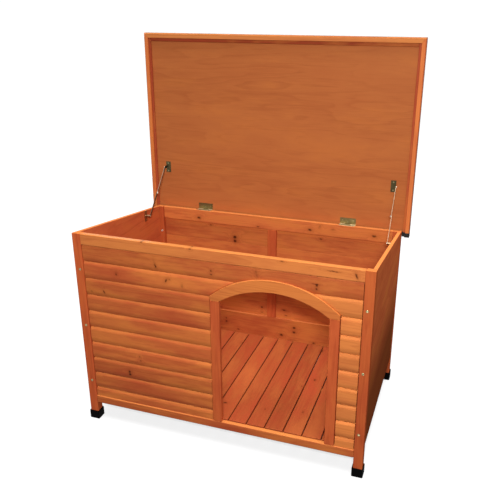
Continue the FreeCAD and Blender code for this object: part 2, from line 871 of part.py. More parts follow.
# layers from the lid bracket's flange outwards to the wall
flange_out = side_inner - D["stay_inset"]
flange_in = flange_out - D["stay_plate_thickness"]
upper_in = flange_out + D["arm_gap"]
upper_out = upper_in + D["arm_thickness"]
lower_in = upper_out + D["arm_gap"]
lower_out = lower_in + D["arm_thickness"]
boss_in = lower_out + D["arm_gap"]
plate_in = side_inner - D["stay_plate_thickness"]


def sided(side, low, high):
    """The span from low to high on the right, or its mirror image on the left."""
    return (low, high) if side == "right" else (-high, -low)


def stay_arm(name, side, low, high, length, direction):
    """Flat arm with round ends, bored at its pivot, running along +Y or -Y."""
    radius = D["arm_radius"]
    reach = length * direction
    near, far = (0, reach) if direction > 0 else (reach, 0)
    span = sided(side, low, high)
    pieces = [
        block(name + "_bar", span, (near, far), (-radius, radius)),
        cylinder_x(name + "_eye", span, 0, 0, radius),
        cylinder_x(name + "_elbow", span, reach, 0, radius),
    ]
    solid = fused(name + "_solid", pieces)
    hole = D["rivet_radius"] + D["bore_clearance"]
    wide = sided(side, low - 1, high + 1)
    return cut(name, solid, cylinder_x(name + "_hole", wide, 0, 0, hole))


WALL_BRACKETS = []


def make_stay(side):
    """Wall bracket, two arms, lid bracket and rivets of one folding stay."""
    half_plate = D["stay_plate_width"] / 2
    half_long = D["stay_plate_length"] / 2
    y, z = wall_pivot_y, wall_pivot_z
    plate = block(
        "stay_wall_plate_" + side,
        sided(side, plate_in, side_inner),
        (y - half_plate, y + half_plate),
        (z - half_long, z + half_long),
    )
    boss = cylinder_x(
        "stay_wall_boss_" + side, sided(side, boss_in, plate_in), y, z, D["boss_radius"]
    )
    WALL_BRACKETS.append(fused("stay_wall_bracket_" + side, [plate, boss]))

    lower = stay_arm(
        "stay_lower_arm_" + side, side, lower_in, lower_out, lower_length, 1
    )
    place(lower, 0, y, z, angle=stay_angle)
    node(lower)
    upper = stay_arm(
        "stay_upper_arm_" + side, side, upper_in, upper_out, upper_length, -1
    )
    place(upper, 0, lid_pivot_y, lid_pivot_z, angle=stay_angle)
    node(upper)

    reach = D["stay_lid_reach"]
    bracket = fused(
        "stay_lid_bracket_" + side,
        [
            block(
                "stay_lid_plate_" + side,
                sided(side, flange_out - D["stay_plate_width"], flange_out),
                (-reach - half_long, -reach + half_long),
                (panel_low - D["stay_plate_thickness"], panel_low),
            ),
            block(
                "stay_lid_flange_" + side,
                sided(side, flange_in, flange_out),
                (-reach - D["arm_radius"], -reach + D["arm_radius"]),
                (lid_pivot_down, panel_low),
            ),
            cylinder_x(
                "stay_lid_eye_" + side,
                sided(side, flange_in, flange_out),
                -reach,
                lid_pivot_down,
                D["arm_radius"],
            ),
        ],
    )
    node(on_lid(bracket))

    elbow_head = cylinder_x(
        "stay_elbow_rivet_" + side,
        sided(side, upper_in - D["rivet_head_height"], upper_in),
        lid_pivot_y - upper_length * cosine(stay_angle),
        lid_pivot_z - upper_length * sine(stay_angle),
        D["rivet_head"],
    )
    node(elbow_head)


def make_stay_rivets():
    wall, lid = [], []
    head = D["rivet_head_height"]
    for side in ("left", "right"):
        name = "stay_wall_rivet_" + side
        y, z = wall_pivot_y, wall_pivot_z
        # the rivet's head fills the side gap and the layer inside the lower arm
        inner = lower_in - D["arm_gap"]
        wall.append(
            fused(
                name,
                [
                    cylinder_x(
                        name + "_shank", sided(side, inner, boss_in), y, z, D["rivet_radius"]
                    ),
                    cylinder_x(
                        name + "_head", sided(side, inner - head, inner), y, z, D["rivet_head"]
                    ),
                ],
            )
        )
        name = "stay_lid_rivet_" + side
        outer = upper_out + D["arm_gap"]
        y, z = -D["stay_lid_reach"], lid_pivot_down
        lid.append(
            fused(
                name,
                [
                    cylinder_x(
                        name + "_shank", sided(side, flange_out, outer), y, z, D["rivet_radius"]
                    ),
                    cylinder_x(
                        name + "_head", sided(side, outer, outer + head), y, z, D["rivet_head"]
                    ),
                ],
            )
        )
    node(group("stay_wall_brackets", WALL_BRACKETS))
    node(group("stay_wall_rivets", wall))
    node(on_lid(group("stay_lid_rivets", lid)))


# ---------------------------------------------------------------- screws

def make_screws():
    posts = []
    head = (front - D["post_screw_height"], front)
    low = D["post_screw_low"]
    high = D["front_height"] - D["post_screw_drop"]
    levels = {"low": low, "middle": low + (high - low) * SCREW_SHARE, "high": high}
    for side, x in (
        ("left", -half_width + D["post_screw_inset"]),
        ("right", half_width - D["post_screw_inset"]),
    ):
        for level, z in levels.items():
            posts.append(
                cylinder_y(
                    "post_screw_%s_%s" % (level, side),
                    x,
                    head,
                    z,
                    D["post_screw_radius"],
                )
            )
    node(group("post_screws", posts))

    wall, lid = [], []
    half_pitch = D["plate_screw_pitch"] / 2
    for side in ("left", "right"):
        for end, shift in (("low", -half_pitch), ("high", half_pitch)):
            wall.append(
                cylinder_x(
                    "stay_wall_screw_%s_%s" % (end, side),
                    sided(side, plate_in - D["plate_screw_height"], plate_in),
                    wall_pivot_y,
                    wall_pivot_z + shift,
                    D["plate_screw_radius"],
                )
            )
            middle = flange_out - D["stay_plate_width"] / 2
            centre = sided(side, middle, middle)[0]
            plate_low = panel_low - D["stay_plate_thickness"]
            lid.append(
                cylinder_z(
                    "stay_lid_screw_%s_%s" % (end, side),
                    centre,
                    -D["stay_lid_reach"] + shift,
                    (plate_low - D["plate_screw_height"], plate_low),
                    D["plate_screw_radius"],
                )
            )
    node(group("stay_wall_screws", wall))
    node(on_lid(group("stay_lid_screws", lid)))


# ---------------------------------------------------------------- build and write

make_posts()
make_foot_caps()
make_front_wall()
make_door_frame()
make_side_walls()
make_back_wall()
make_floor()
make_floor_bearers()
make_lid_wood()
make_roof_felt()
make_hinges()
make_stay("left")
make_stay("right")
make_stay_rivets()
make_screws()

doc.recompute()
for feature in doc.Objects:
    if "Invalid" in feature.State or "Error" in feature.State:
        raise RuntimeError("%s did not recompute" % feature.Name)
for feature in NODES:
    if feature.Shape.isNull() or not feature.Shape.isValid():
        raise RuntimeError("%s has no valid shape" % feature.Label)

os.makedirs("parts", exist_ok=True)
whole = FreeCAD.BoundBox()
for feature in NODES:
    feature.Shape.exportStep("parts/%s.step" % feature.Label)
    whole.add(feature.Shape.BoundBox)
print("%d nodes, overall %.1f x %.1f x %.1f mm" % (
    len(NODES), whole.XLength, whole.YLength, whole.ZLength))
print("middle at %.2f, %.2f, lowest point %.2f" % (whole.Center.x, whole.Center.y, whole.ZMin))
print("pin %.3f %.3f" % (pin_y.value, pin_z.value))
print("wall pivot %.3f %.3f" % (wall_pivot_y.value, wall_pivot_z.value))
print("lid pivot %.3f %.3f" % (lid_pivot_y.value, lid_pivot_z.value))
print("slope %.4f stay angle %.4f" % (slope.value, stay_angle.value))
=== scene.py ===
"""Looks of a wooden dog house with an arched doorway and a lid that opens on stays.

Lengths are in millimetres until a mesh is written, X to the right, Y to the
rear, Z up, with the front faces of the front posts at Sizes.front.
"""
import logging
import math
from dataclasses import dataclass, field
from enum import Enum
from typing import NamedTuple

import bmesh
import bpy
import numpy as np
from mathutils import Matrix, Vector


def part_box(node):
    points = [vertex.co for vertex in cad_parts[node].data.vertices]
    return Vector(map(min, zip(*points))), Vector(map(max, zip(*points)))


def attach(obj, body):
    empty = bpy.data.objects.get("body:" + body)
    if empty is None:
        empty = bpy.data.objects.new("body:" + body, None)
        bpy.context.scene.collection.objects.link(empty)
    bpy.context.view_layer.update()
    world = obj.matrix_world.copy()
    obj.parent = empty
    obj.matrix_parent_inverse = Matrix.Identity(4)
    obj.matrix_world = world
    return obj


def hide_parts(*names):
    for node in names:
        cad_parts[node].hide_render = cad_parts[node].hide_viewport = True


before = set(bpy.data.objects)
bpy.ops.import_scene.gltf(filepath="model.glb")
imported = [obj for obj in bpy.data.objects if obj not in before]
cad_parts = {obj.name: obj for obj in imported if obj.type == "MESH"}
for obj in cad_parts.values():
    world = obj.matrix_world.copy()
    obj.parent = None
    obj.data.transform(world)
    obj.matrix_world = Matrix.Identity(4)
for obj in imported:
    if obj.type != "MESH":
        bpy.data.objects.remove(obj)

LOG = logging.getLogger("dog_house")
MM = 0.001
SOFT_EDGE_ANGLE = math.radians(32)
SIDES = (("left", -1), ("right", 1))


class Axis(Enum):
    """Direction along which a piece's grain runs."""

    X = 0
    Y = 1
    Z = 2


@dataclass(frozen=True)
class Sizes:
    """Main sizes of the house, as in its solids, and those of the lid about its pin.

    Attributes:
        width: over the posts' outer faces.
        depth: from the front posts' faces to the back wall's.
        front: place of the front posts' faces.
        front_height: wall tops at the front.
        rear_height: wall tops at the rear.
        post: width of a post.
        back_thickness: back boards'.
        kick_thickness: kick board's.
        sill_thickness: front bottom rail's.
        sill_low: lower edge of that rail and of the back boards.
        boards_high: upper edge of the front boards.
        boards_low: their lower edge.
        pitch: height of a front board.
        door_centre: middle of the doorway.
        half_door: half its width.
        half_frame: half the width over its frame.
        jamb_top: height of the jambs.
        arch_side: height of the arch's feet.
        arch_outer: rise of its outer curve over them.
        arch_inner: rise of its inner curve over the jambs.
        floor_high: upper face of the floor boards.
        floor_low: their lower face.
        pin_y: place of the hinge pins from front to rear.
        pin_z: their height.
        lid_open: angle of the open lid from level, in degrees.
        lid_gap: height of the panel's underside over the pins, with the lid level.
        wood_half: half the width of the lid's wood.
        wood_front: reach of that wood before the pins.
        wood_rear: its reach behind them.
    """

    width: float = 986.0
    depth: float = 623.0
    front: float = -321.3
    front_height: float = 714.5
    rear_height: float = 620.4
    post: float = 30.0
    back_thickness: float = 12.0
    kick_thickness: float = 8.0
    sill_thickness: float = 16.0
    sill_low: float = 69.0
    boards_high: float = 677.0
    boards_low: float = 98.5
    pitch: float = 60.5
    door_centre: float = 192.3
    half_door: float = 174.75
    half_frame: float = 205.75
    jamb_top: float = 547.0
    arch_side: float = 14.0
    arch_outer: float = 81.0
    arch_inner: float = 56.0
    floor_high: float = 97.2
    floor_low: float = 85.2
    pin_y: float = 307.7
    pin_z: float = 618.786
    lid_open: float = 90.5
    lid_gap: float = 3.2
    wood_half: float = 518.0
    wood_front: float = 674.5
    wood_rear: float = 18.5

    @property
    def half(self) -> float:
        """Outer faces of the posts, from the middle."""
        return self.width / 2

    @property
    def inner(self) -> float:
        """Inner faces of the posts, from the middle."""
        return self.half - self.post

    @property
    def rear(self) -> float:
        """Outer face of the back wall."""
        return self.front + self.depth

    @property
    def back_inner(self) -> float:
        """Inner face of the back boards."""
        return self.rear - self.back_thickness

    def top_at(self, y: float | np.ndarray) -> float | np.ndarray:
        """Height of the sloping wall tops: the front's, less the fall for each step rearward.

        Args:
            y: places from front to rear.

        Returns:
            The heights there.
        """
        fall = (self.front_height - self.rear_height) / self.depth
        return self.front_height - fall * (np.asarray(y) - self.front)


S = Sizes()


# ---------------------------------------------------------------- surfaces

@dataclass
class Shell:
    """Vertices in millimetres and faces of one closed surface."""

    points: np.ndarray
    faces: list


def loft(loops: np.ndarray) -> Shell:
    """Join closed loops of points with quads and close the first and the last.

    Args:
        loops: array (stations, points of a loop, 3).

    Returns:
        The closed surface.
    """
    stations, count = loops.shape[:2]
    grid = np.arange(stations * count).reshape(stations, count)
    after = np.roll(grid, -1, axis=1)
    quads = np.stack([grid[:-1], after[:-1], after[1:], grid[1:]], axis=-1).reshape(-1, 4)
    faces = quads.tolist() + [grid[0][::-1].tolist(), grid[-1].tolist()]
    return Shell(loops.reshape(-1, 3), faces)


def carried(
    profile: np.ndarray, axis: Axis, low: float | np.ndarray, high: float | np.ndarray
) -> Shell:
    """Carry a closed outline along an axis.

    Args:
        profile: points over the two other axes, in their order.
        axis: axis of the carry.
        low: where it starts, for all points or for each.
        high: where it ends.

    Returns:
        The closed surface.
    """
    ends = [np.broadcast_to(np.asarray(end, float), len(profile)) for end in (low, high)]
    first, second = profile[:, 0], profile[:, 1]
    loops = []
    for end in ends:
        columns = [first, second]
        columns.insert(axis.value, end)
        loops.append(np.stack(columns, axis=1))
    return loft(np.array(loops))


def box(x: tuple, y: tuple, z: tuple) -> Shell:
    """Square-edged bar.

    Args:
        x: its (low, high) pair across.
        y: its pair from front to rear.
        z: its pair of heights.

    Returns:
        The closed surface.
    """
    outline = np.array([(x[0], y[0]), (x[1], y[0]), (x[1], y[1]), (x[0], y[1])], float)
    return carried(outline, Axis.Z, z[0], z[1])


def rings(radii: np.ndarray, heights: np.ndarray, count: int = 24) -> np.ndarray:
    """Round loops about local Z: the cosine and the sine of a full turn by each radius.

    Args:
        radii: radius of each loop.
        heights: height of each loop.
        count: points of a loop.

    Returns:
        Array (loops, count, 3).
    """
    turn = np.linspace(0, 2 * math.pi, count, endpoint=False)
    radii, heights = np.asarray(radii, float)[:, None], np.asarray(heights, float)[:, None]
    flat = np.ones_like(turn)
    return np.stack([radii * np.cos(turn), radii * np.sin(turn), heights * flat], axis=-1)


def moved(shell: Shell, origin: tuple, basis: list) -> Shell:
    """Turn a shell's local axes onto the rows of a basis, then shift it.

    Args:
        shell: the surface in its own axes.
        origin: where its origin goes.
        basis: where its X, Y and Z point.

    Returns:
        The surface in its place.
    """
    return Shell(shell.points @ np.asarray(basis, float) + np.asarray(origin, float), shell.faces)


def on_lid(shell: Shell) -> Shell:
    """Turn a piece that is made level, from the hinge pin, to the open lid.

    Args:
        shell: piece of the level lid, with the pin at the origin.

    Returns:
        The piece of the open lid.
    """
    turn = math.radians(S.lid_open)
    cosine, sine = math.cos(turn), math.sin(turn)
    basis = [(1, 0, 0), (0, cosine, -sine), (0, sine, cosine)]
    return moved(shell, (0, S.pin_y, S.pin_z), basis)


FACING = {
    "front": [(1, 0, 0), (0, 0, 1), (0, -1, 0)],
    "right": [(0, 1, 0), (0, 0, 1), (1, 0, 0)],
}


def seed_of(name: str, index: int) -> float:
    """Seed of a shell's wood pattern.

    Args:
        name: name of the piece.
        index: place of the shell in it.

    Returns:
        A number that differs from piece to piece and from shell to shell.
    """
    return (sum(map(ord, name)) % 97) * 0.37 + index * 1.13


def write_piece(
    name: str,
    shells: list,
    finish: "Finish",
    body: str = "house",
    nodes: tuple = (),
    bevel: float = 0.0,
    segments: int = 2,
) -> bpy.types.Object:
    """Write shells as one object that rides on a body and stands for CAD nodes.

    Args:
        name: name of the piece.
        shells: closed surfaces; each gets its own seed for its wood pattern.
        finish: finish that makes the material.
        body: body that carries the piece.
        nodes: CAD nodes that it stands for.
        bevel: width of the softened edges in millimetres.
        segments: faces across a softened edge.

    Returns:
        The object, at the origin, unturned and unscaled.
    """
    points, faces, seeds, start = [], [], [], 0
    for index, shell in enumerate(shells):
        points.append(shell.points * MM)
        faces += [[start + corner for corner in face] for face in shell.faces]
        seeds.append(np.full(len(shell.points), seed_of(name, index)))
        start += len(shell.points)
    mesh = bpy.data.meshes.new(name)
    mesh.from_pydata(np.concatenate(points), [], faces)
    mesh.attributes.new("seed", "FLOAT", "POINT").data.foreach_set("value", np.concatenate(seeds))
    work = bmesh.new()
    work.from_mesh(mesh)
    bmesh.ops.recalc_face_normals(work, faces=work.faces)
    work.to_mesh(mesh)
    work.free()
    mesh.polygons.foreach_set("use_smooth", [True] * len(mesh.polygons))
    mesh.materials.append(finish.material())
    piece = bpy.data.objects.new(name, mesh)
    bpy.context.scene.collection.objects.link(piece)
    if bevel:
        soft = piece.modifiers.new("soft_edges", "BEVEL")
        soft.width = bevel * MM
        soft.segments = segments
        soft.limit_method = "ANGLE"
        soft.angle_limit = SOFT_EDGE_ANGLE
        soft.harden_normals = True
    level = piece.modifiers.new("face_normals", "WEIGHTED_NORMAL")
    level.keep_sharp = True
    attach(piece, body)
    if nodes:
        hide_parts(*nodes)
    LOG.info("%s: %d faces", name, len(faces))
    return piece


# ---------------------------------------------------------------- finishes

def srgb(red: float, green: float, blue: float) -> tuple:
    """Linear colour of a screen colour, by the sRGB curve.

    Args:
        red: screen value of 0 to 255.
        green: the same for green.
        blue: the same for blue.

    Returns:
        Red, green, blue and an alpha of one.
    """
    values = np.array([red, green, blue]) / 255.0
    linear = np.where(values < 0.04045, values / 12.92, ((values + 0.055) / 1.055) ** 2.4)
    return (*linear.tolist(), 1.0)


Feed = bpy.types.NodeSocket | float | tuple


class Nodes:
    """Shader nodes of one tree."""

    def __init__(self, tree: bpy.types.NodeTree) -> None:
        """Take a tree.

        Args:
            tree: tree of a material or of the world.
        """
        self.tree = tree

    def add(self, kind: str, **settings: str | bool) -> bpy.types.Node:
        """Add a node.

        Args:
            kind: its type without the prefix.
            **settings: its properties.

        Returns:
            The node.
        """
        node = self.tree.nodes.new("ShaderNode" + kind)
        for key, value in settings.items():
            setattr(node, key, value)
        return node

    def feed(self, socket: bpy.types.NodeSocket, value: Feed) -> None:
        """Link a socket's source, or set its value.

        Args:
            socket: input that takes it.
            value: output, number or tuple.
        """
        if isinstance(value, bpy.types.NodeSocket):
            self.tree.links.new(value, socket)
        else:
            socket.default_value = value

    def math(self, operation: str, *values: Feed, clamp: bool = False) -> bpy.types.NodeSocket:
        """Sum, product or other operation on numbers.

        Args:
            operation: name of the operation.
            *values: its inputs.
            clamp: whether the result stays between nothing and one.

        Returns:
            The result.
        """
        node = self.add("Math", operation=operation, use_clamp=clamp)
        for socket, value in zip(node.inputs, values):
            self.feed(socket, value)
        return node.outputs[0]

    def vector(self, operation: str, *values: Feed) -> bpy.types.NodeSocket:
        """Operation on vectors.

        Args:
            operation: name of the operation.
            *values: its inputs.

        Returns:
            The vector, or the number where the operation is a distance.
        """
        node = self.add("VectorMath", operation=operation)
        for socket, value in zip(node.inputs, values):
            self.feed(socket, value)
        return node.outputs["Value"] if operation == "DISTANCE" else node.outputs[0]

    def scaled(self, vector: Feed, factors: tuple) -> bpy.types.NodeSocket:
        """Vector times a factor for each axis."""
        return self.vector("MULTIPLY", vector, factors)

    def joined(self, *values: Feed) -> bpy.types.NodeSocket:
        """Vector of three numbers.

        Args:
            *values: its parts along X, Y and Z.

        Returns:
            The vector.
        """
        node = self.add("CombineXYZ")
        for socket, value in zip(node.inputs, values):
            self.feed(socket, value)
        return node.outputs[0]

    def part(self, vector: Feed, axis: Axis) -> bpy.types.NodeSocket:
        """One number of a vector.

        Args:
            vector: the vector.
            axis: axis of the number.

        Returns:
            The number.
        """
        node = self.add("SeparateXYZ")
        self.feed(node.inputs[0], vector)
        return node.outputs[axis.value]

    def noise(
        self, vector: Feed, scale: float, detail: float = 2.0, roughness: float = 0.5
    ) -> bpy.types.NodeSocket:
        """Noise about a half.

        Args:
            vector: place.
            scale: waves over a metre.
            detail: octaves added to the first.
            roughness: strength of each octave against the one before.

        Returns:
            The noise there.
        """
        node = self.add("TexNoise")
        self.feed(node.inputs["Vector"], vector)
        node.inputs["Scale"].default_value = scale
        node.inputs["Detail"].default_value = detail
        node.inputs["Roughness"].default_value = roughness
        return node.outputs[0]

    def ramp(self, factor: Feed, stops: list) -> bpy.types.NodeSocket:
        """Piecewise line through (place, value) stops.

        Args:
            factor: place on the line.
            stops: its corners.

        Returns:
            The value there.
        """
        node = self.add("ValToRGB")
        self.feed(node.inputs[0], factor)
        elements = node.color_ramp.elements
        while len(elements) < len(stops):
            elements.new(0.5)
        for element, (place, value) in zip(elements, stops):
            element.position = place
            element.color = (value, value, value, 1.0)
        return node.outputs[0]

    def mix(self, factor: Feed, first: Feed, second: Feed) -> bpy.types.NodeSocket:
        """Colour between two.

        Args:
            factor: share of the second.
            first: colour at nothing.
            second: colour at one.

        Returns:
            The colour.
        """
        node = self.add("Mix", data_type="RGBA")
        self.feed(node.inputs[0], factor)
        self.feed(node.inputs[6], first)
        self.feed(node.inputs[7], second)
        return node.outputs[2]

    def place(self) -> bpy.types.NodeSocket:
        """Object coordinates, in metres."""
        return self.add("TexCoord").outputs["Object"]

    def facing(self) -> bpy.types.NodeSocket:
        """Direction that the surface faces."""
        return self.add("TexCoord").outputs["Normal"]

    def seed(self) -> bpy.types.NodeSocket:
        """The shell's own seed."""
        return self.add("Attribute", attribute_name="seed").outputs["Fac"]


class Graph(Nodes):
    """Nodes of one material with a Principled shader."""

    def __init__(self, name: str) -> None:
        """Start a material.

        Args:
            name: name of the material.
        """
        self.material = bpy.data.materials.new(name)
        self.material.use_nodes = True
        super().__init__(self.material.node_tree)
        self.shader = self.tree.nodes["Principled BSDF"]

    def set(self, name: str, value: Feed) -> None:
        """Feed one of the shader's own sockets.

        Args:
            name: name of the socket.
            value: output, number or tuple.
        """
        self.feed(self.shader.inputs[name], value)

    def bump(self, height: Feed, strength: float, distance: float) -> None:
        """Roughen the shader's normal.

        Args:
            height: relief, of about one.
            strength: share of the relief.
            distance: depth of a relief of one, in metres.
        """
        node = self.add("Bump")
        node.inputs["Strength"].default_value = strength
        node.inputs["Distance"].default_value = distance
        self.feed(node.inputs["Height"], height)
        self.set("Normal", node.outputs[0])


class Knot(NamedTuple):
    """Knot of a board's face: its place, half sizes, tilt in degrees and depth of tone."""

    first: float
    second: float
    half_width: float
    half_height: float
    tilt: float
    depth: float


_MATERIALS: dict[str, bpy.types.Material] = {}


@dataclass(frozen=True)
class Finish:
    """A finish that makes its material once."""

    name: str = "finish"

    def material(self) -> bpy.types.Material:
        """Material of the finish, built the first time.

        Returns:
            The material.
        """
        if self.name not in _MATERIALS:
            graph = Graph(self.name)
            self.build(graph)
            _MATERIALS[self.name] = graph.material
        return _MATERIALS[self.name]

    def build(self, graph: Graph) -> None:
        """Lay the finish's nodes.

        Args:
            graph: nodes of its material.
        """
        raise NotImplementedError


@dataclass(frozen=True)
class StainedWood(Finish):
    """Satin stain over softwood: growth lines stretched along the grain.

    The lines are the contours of a noise that is drawn out along the grain, so
    they close into long pointed figures, and each knot lifts the noise about it,
    which bends the lines round the knot.

    Attributes:
        grain: direction of the grain.
        light: screen colour of the early wood.
        dark: screen colour of the late wood.
        red: colour where the stain is thick.
        yellow: colour where it is thin.
        wear_and_top_light: colour of faces that look up, a painted highlight of the light from
            above.
        redness: strength of the thick and thin places.
        painted_top_light: strength of that painted highlight.
        knots: knots of its faces, placed over the two axes other than the next.
        across: axis that the knots run along.
        figure: waves of the growth lines' noise over a metre.
        stretch: its scale along the grain against that across it.
        lines: contours of that noise.
        contrast: strength of the growth lines.
        roughness: roughness of the stain.
        sheen: the shader's specular level.
        painted_low_shade: strength of the painted shade that darkens a panel towards its bottom.
        rim: strength of the painted shade on the lid rails' right outer edge.
    """

    grain: Axis = Axis.X
    light: tuple = (192, 101, 53)
    dark: tuple = (138, 58, 27)
    red: tuple = (164, 64, 40)
    yellow: tuple = (210, 124, 58)
    # colour and strength of the painted highlight on faces that look up; it is on by default
    wear_and_top_light: tuple = (236, 150, 78)
    redness: float = 0.6
    painted_top_light: float = 0.6
    knots: tuple = ()
    across: Axis = Axis.Y
    figure: float = 17.0
    stretch: float = 0.045
    lines: float = 13.0
    contrast: float = 0.34
    roughness: float = 0.45
    sheen: float = 0.04
    # painted shade that darkens a panel towards its bottom
    painted_low_shade: float = 0.0
    # painted shade on the lid rails' right outer edge
    rim: float = 0.0

    def build(self, graph: Graph) -> None:
        """Lay growth lines, fibre, stain, painted light and shade, and knots.

        Args:
            graph: nodes of the material.
        """
        place, seed = graph.place(), graph.seed()
        shift = graph.joined(*(graph.math("MULTIPLY", seed, rate) for rate in SEED_SHIFTS))
        drawn = self.drawn(graph, place, shift, self.stretch)
        knot, halo = self.knot_marks(graph, place)
        ring = self.growth(graph, drawn, halo)
        fibre = graph.noise(self.drawn(graph, place, shift, FIBRE_STRETCH), 520.0, 2.0, 0.6)
        cloud = graph.noise(self.drawn(graph, place, shift, CLOUD_STRETCH), 15.0, 4.0, 0.62)
        colour = self.stained(graph, ring, fibre, graph.noise(drawn, 5.0, 3.0, 0.6))
        colour = self.clouded(graph, colour, cloud)
        colour = self.painted_light_and_shade(graph, colour, place)
        tint = graph.math("FRACT", graph.math("MULTIPLY", seed, 0.618))
        tint = graph.math("MULTIPLY_ADD", tint, 0.16, 0.92)
        colour = graph.vector("MULTIPLY", colour, graph.joined(tint, tint, tint))
        graph.set("Base Color", self.knotted(graph, colour, knot, halo))
        graph.set("Roughness", graph.math("MULTIPLY_ADD", fibre, 0.16, self.roughness - 0.08))
        graph.set("Specular IOR Level", self.sheen)
        graph.bump(graph.math("MULTIPLY_ADD", ring, -0.35, fibre), 0.35, 0.0004)

    def drawn(self, graph: Graph, place: Feed, shift: Feed, stretch: float) -> Feed:
        """Place drawn out along the grain and shifted.

        Args:
            graph: nodes of the material.
            place: object coordinates.
            shift: shift of the shell's own pattern.
            stretch: scale along the grain.

        Returns:
            The place to read a noise at.
        """
        factors = [1.0, 1.0, 1.0]
        factors[self.grain.value] = stretch
        return graph.vector("ADD", graph.scaled(place, tuple(factors)), shift)

    def growth(self, graph: Graph, drawn: Feed, halo: Feed) -> Feed:
        """Growth lines: each contour darkens slowly and ends at once, as late wood does.

        Args:
            graph: nodes of the material.
            drawn: place drawn out along the grain.
            halo: rise round the knots.

        Returns:
            Nothing in early wood, one in late wood.
        """
        figure = graph.noise(drawn, self.figure, 2.0, 0.45)
        if self.knots:
            figure = graph.math("MULTIPLY_ADD", halo, 0.2, figure)
        ring = graph.math("FRACT", graph.math("MULTIPLY", figure, self.lines))
        return graph.ramp(ring, [(0.0, 0.08), (0.55, 0.4), (0.88, 1.0), (1.0, 0.08)])

    def stained(self, graph: Graph, ring: Feed, fibre: Feed, blotch: Feed) -> Feed:
        """Colour between the light and the dark, by the sum of lines, fibre and blotches.

        Args:
            graph: nodes of the material.
            ring: growth lines.
            fibre: fine noise.
            blotch: coarse noise.

        Returns:
            The colour.
        """
        tone = graph.math("MULTIPLY_ADD", ring, self.contrast, -0.08)
        tone = graph.math("MULTIPLY_ADD", graph.math("SUBTRACT", fibre, 0.5), 0.9, tone)
        blot = graph.math("SUBTRACT", blotch, 0.5)
        tone = graph.math("MULTIPLY_ADD", blot, 1.1, tone, clamp=True)
        return graph.mix(tone, srgb(*self.light), srgb(*self.dark))

    def clouded(self, graph: Graph, colour: Feed, cloud: Feed) -> Feed:
        """Colour with the stain thick where the cloud is high and thin where it is low.

        Args:
            graph: nodes of the material.
            colour: colour before.
            cloud: noise drawn out a little along the grain.

        Returns:
            The colour.
        """
        thick = graph.ramp(cloud, [(0.46, 0.0), (0.68, self.redness)])
        colour = graph.mix(thick, colour, srgb(*self.red))
        thin = graph.ramp(cloud, [(0.3, self.redness), (0.5, 0.0)])
        return graph.mix(thin, colour, srgb(*self.yellow))

    def painted_light_and_shade(self, graph: Graph, colour: Feed, place: Feed) -> Feed:
        """Colour with a painted highlight on faces that look up, and painted shade low on a panel
        and at the lid's right edge.

        Args:
            graph: nodes of the material.
            colour: colour before.
            place: object coordinates.

        Returns:
            The colour.
        """
        # painted highlight: faces that look up turn lighter and yellower, as a strong top light
        # shows them
        if self.painted_top_light:
            upward = graph.part(graph.facing(), Axis.Z)
            upward = graph.ramp(upward, [(0.45, 0.0), (0.95, self.painted_top_light)])
            colour = graph.mix(upward, colour, srgb(*self.wear_and_top_light))
        # painted shade: darker towards the bottom of a panel, fully from 0.26 m and fading out by
        # 0.46 m
        if self.painted_low_shade:
            deep = graph.ramp(graph.part(place, Axis.Z), [(0.26, self.painted_low_shade), (0.46, 0.0)])
            colour = graph.mix(deep, colour, LOW_SHADE_BROWN)
        # painted shade: the right rail's rounded outer edge, beyond x = 0.5158 m, turns dark
        # red-brown
        if self.rim:
            outer = graph.ramp(graph.part(place, Axis.X), [(0.5158, 0.0), (0.5178, self.rim)])
            colour = graph.mix(outer, colour, EDGE_SHADE_BROWN)
        return colour

    def knotted(self, graph: Graph, colour: Feed, knot: Feed, halo: Feed) -> Feed:
        """Colour with the knots' red surrounds and dark cores.

        Args:
            graph: nodes of the material.
            colour: colour before.
            knot: cores.
            halo: wider rise round them.

        Returns:
            The colour.
        """
        if not self.knots:
            return colour
        colour = graph.mix(graph.math("MULTIPLY", halo, 0.25, clamp=True), colour, KNOT_RED)
        core = graph.ramp(knot, [(0.0, 0.0), (0.3, 0.15), (0.62, 0.65), (1.0, 0.93)])
        return graph.mix(core, colour, KNOT_BROWN)

    def knot_marks(self, graph: Graph, place: Feed) -> tuple:
        """Dark cores of the knots, and the wider rise round them that bends the lines.

        Each knot is a bell over a turned ellipse, whose edge a small noise makes ragged.

        Args:
            graph: nodes of the material.
            place: object coordinates.

        Returns:
            The sum of the cores and that of the rises.
        """
        core, halo = 0.0, 0.0
        if not self.knots:
            return core, halo
        across = self.across.value
        first, second = [axis for axis in range(3) if axis != across]
        keep = [float(axis != across) for axis in range(3)]
        ragged = graph.add("TexNoise")
        graph.feed(ragged.inputs["Vector"], place)
        ragged.inputs["Scale"].default_value = 260.0
        ragged = graph.vector("SUBTRACT", ragged.outputs["Color"], (0.5, 0.5, 0.5))
        flat = graph.vector("ADD", graph.scaled(ragged, (0.006, 0.006, 0.006)), place)
        flat = graph.scaled(flat, tuple(keep))
        for knot in self.knots:
            spot, size, turn = [0.0] * 3, [1.0] * 3, [0.0] * 3
            spot[first], spot[second] = knot.first * MM, knot.second * MM
            size[first], size[second] = knot.half_width * MM, knot.half_height * MM
            turn[across] = math.radians(knot.tilt)
            own = graph.add("Mapping", vector_type="TEXTURE")
            graph.feed(own.inputs["Vector"], flat)
            own.inputs["Location"].default_value = spot
            own.inputs["Rotation"].default_value = turn
            own.inputs["Scale"].default_value = size
            away = graph.vector("DISTANCE", own.outputs[0], (0.0, 0.0, 0.0))
            square = graph.math("MULTIPLY", away, away)
            bell = graph.math("EXPONENT", graph.math("MULTIPLY", square, -0.5))
            core = graph.math("MULTIPLY_ADD", bell, knot.depth, core)
            wider = graph.math("EXPONENT", graph.math("MULTIPLY", square, -0.07))
            halo = graph.math("MULTIPLY_ADD", wider, knot.depth, halo)
        return core, halo


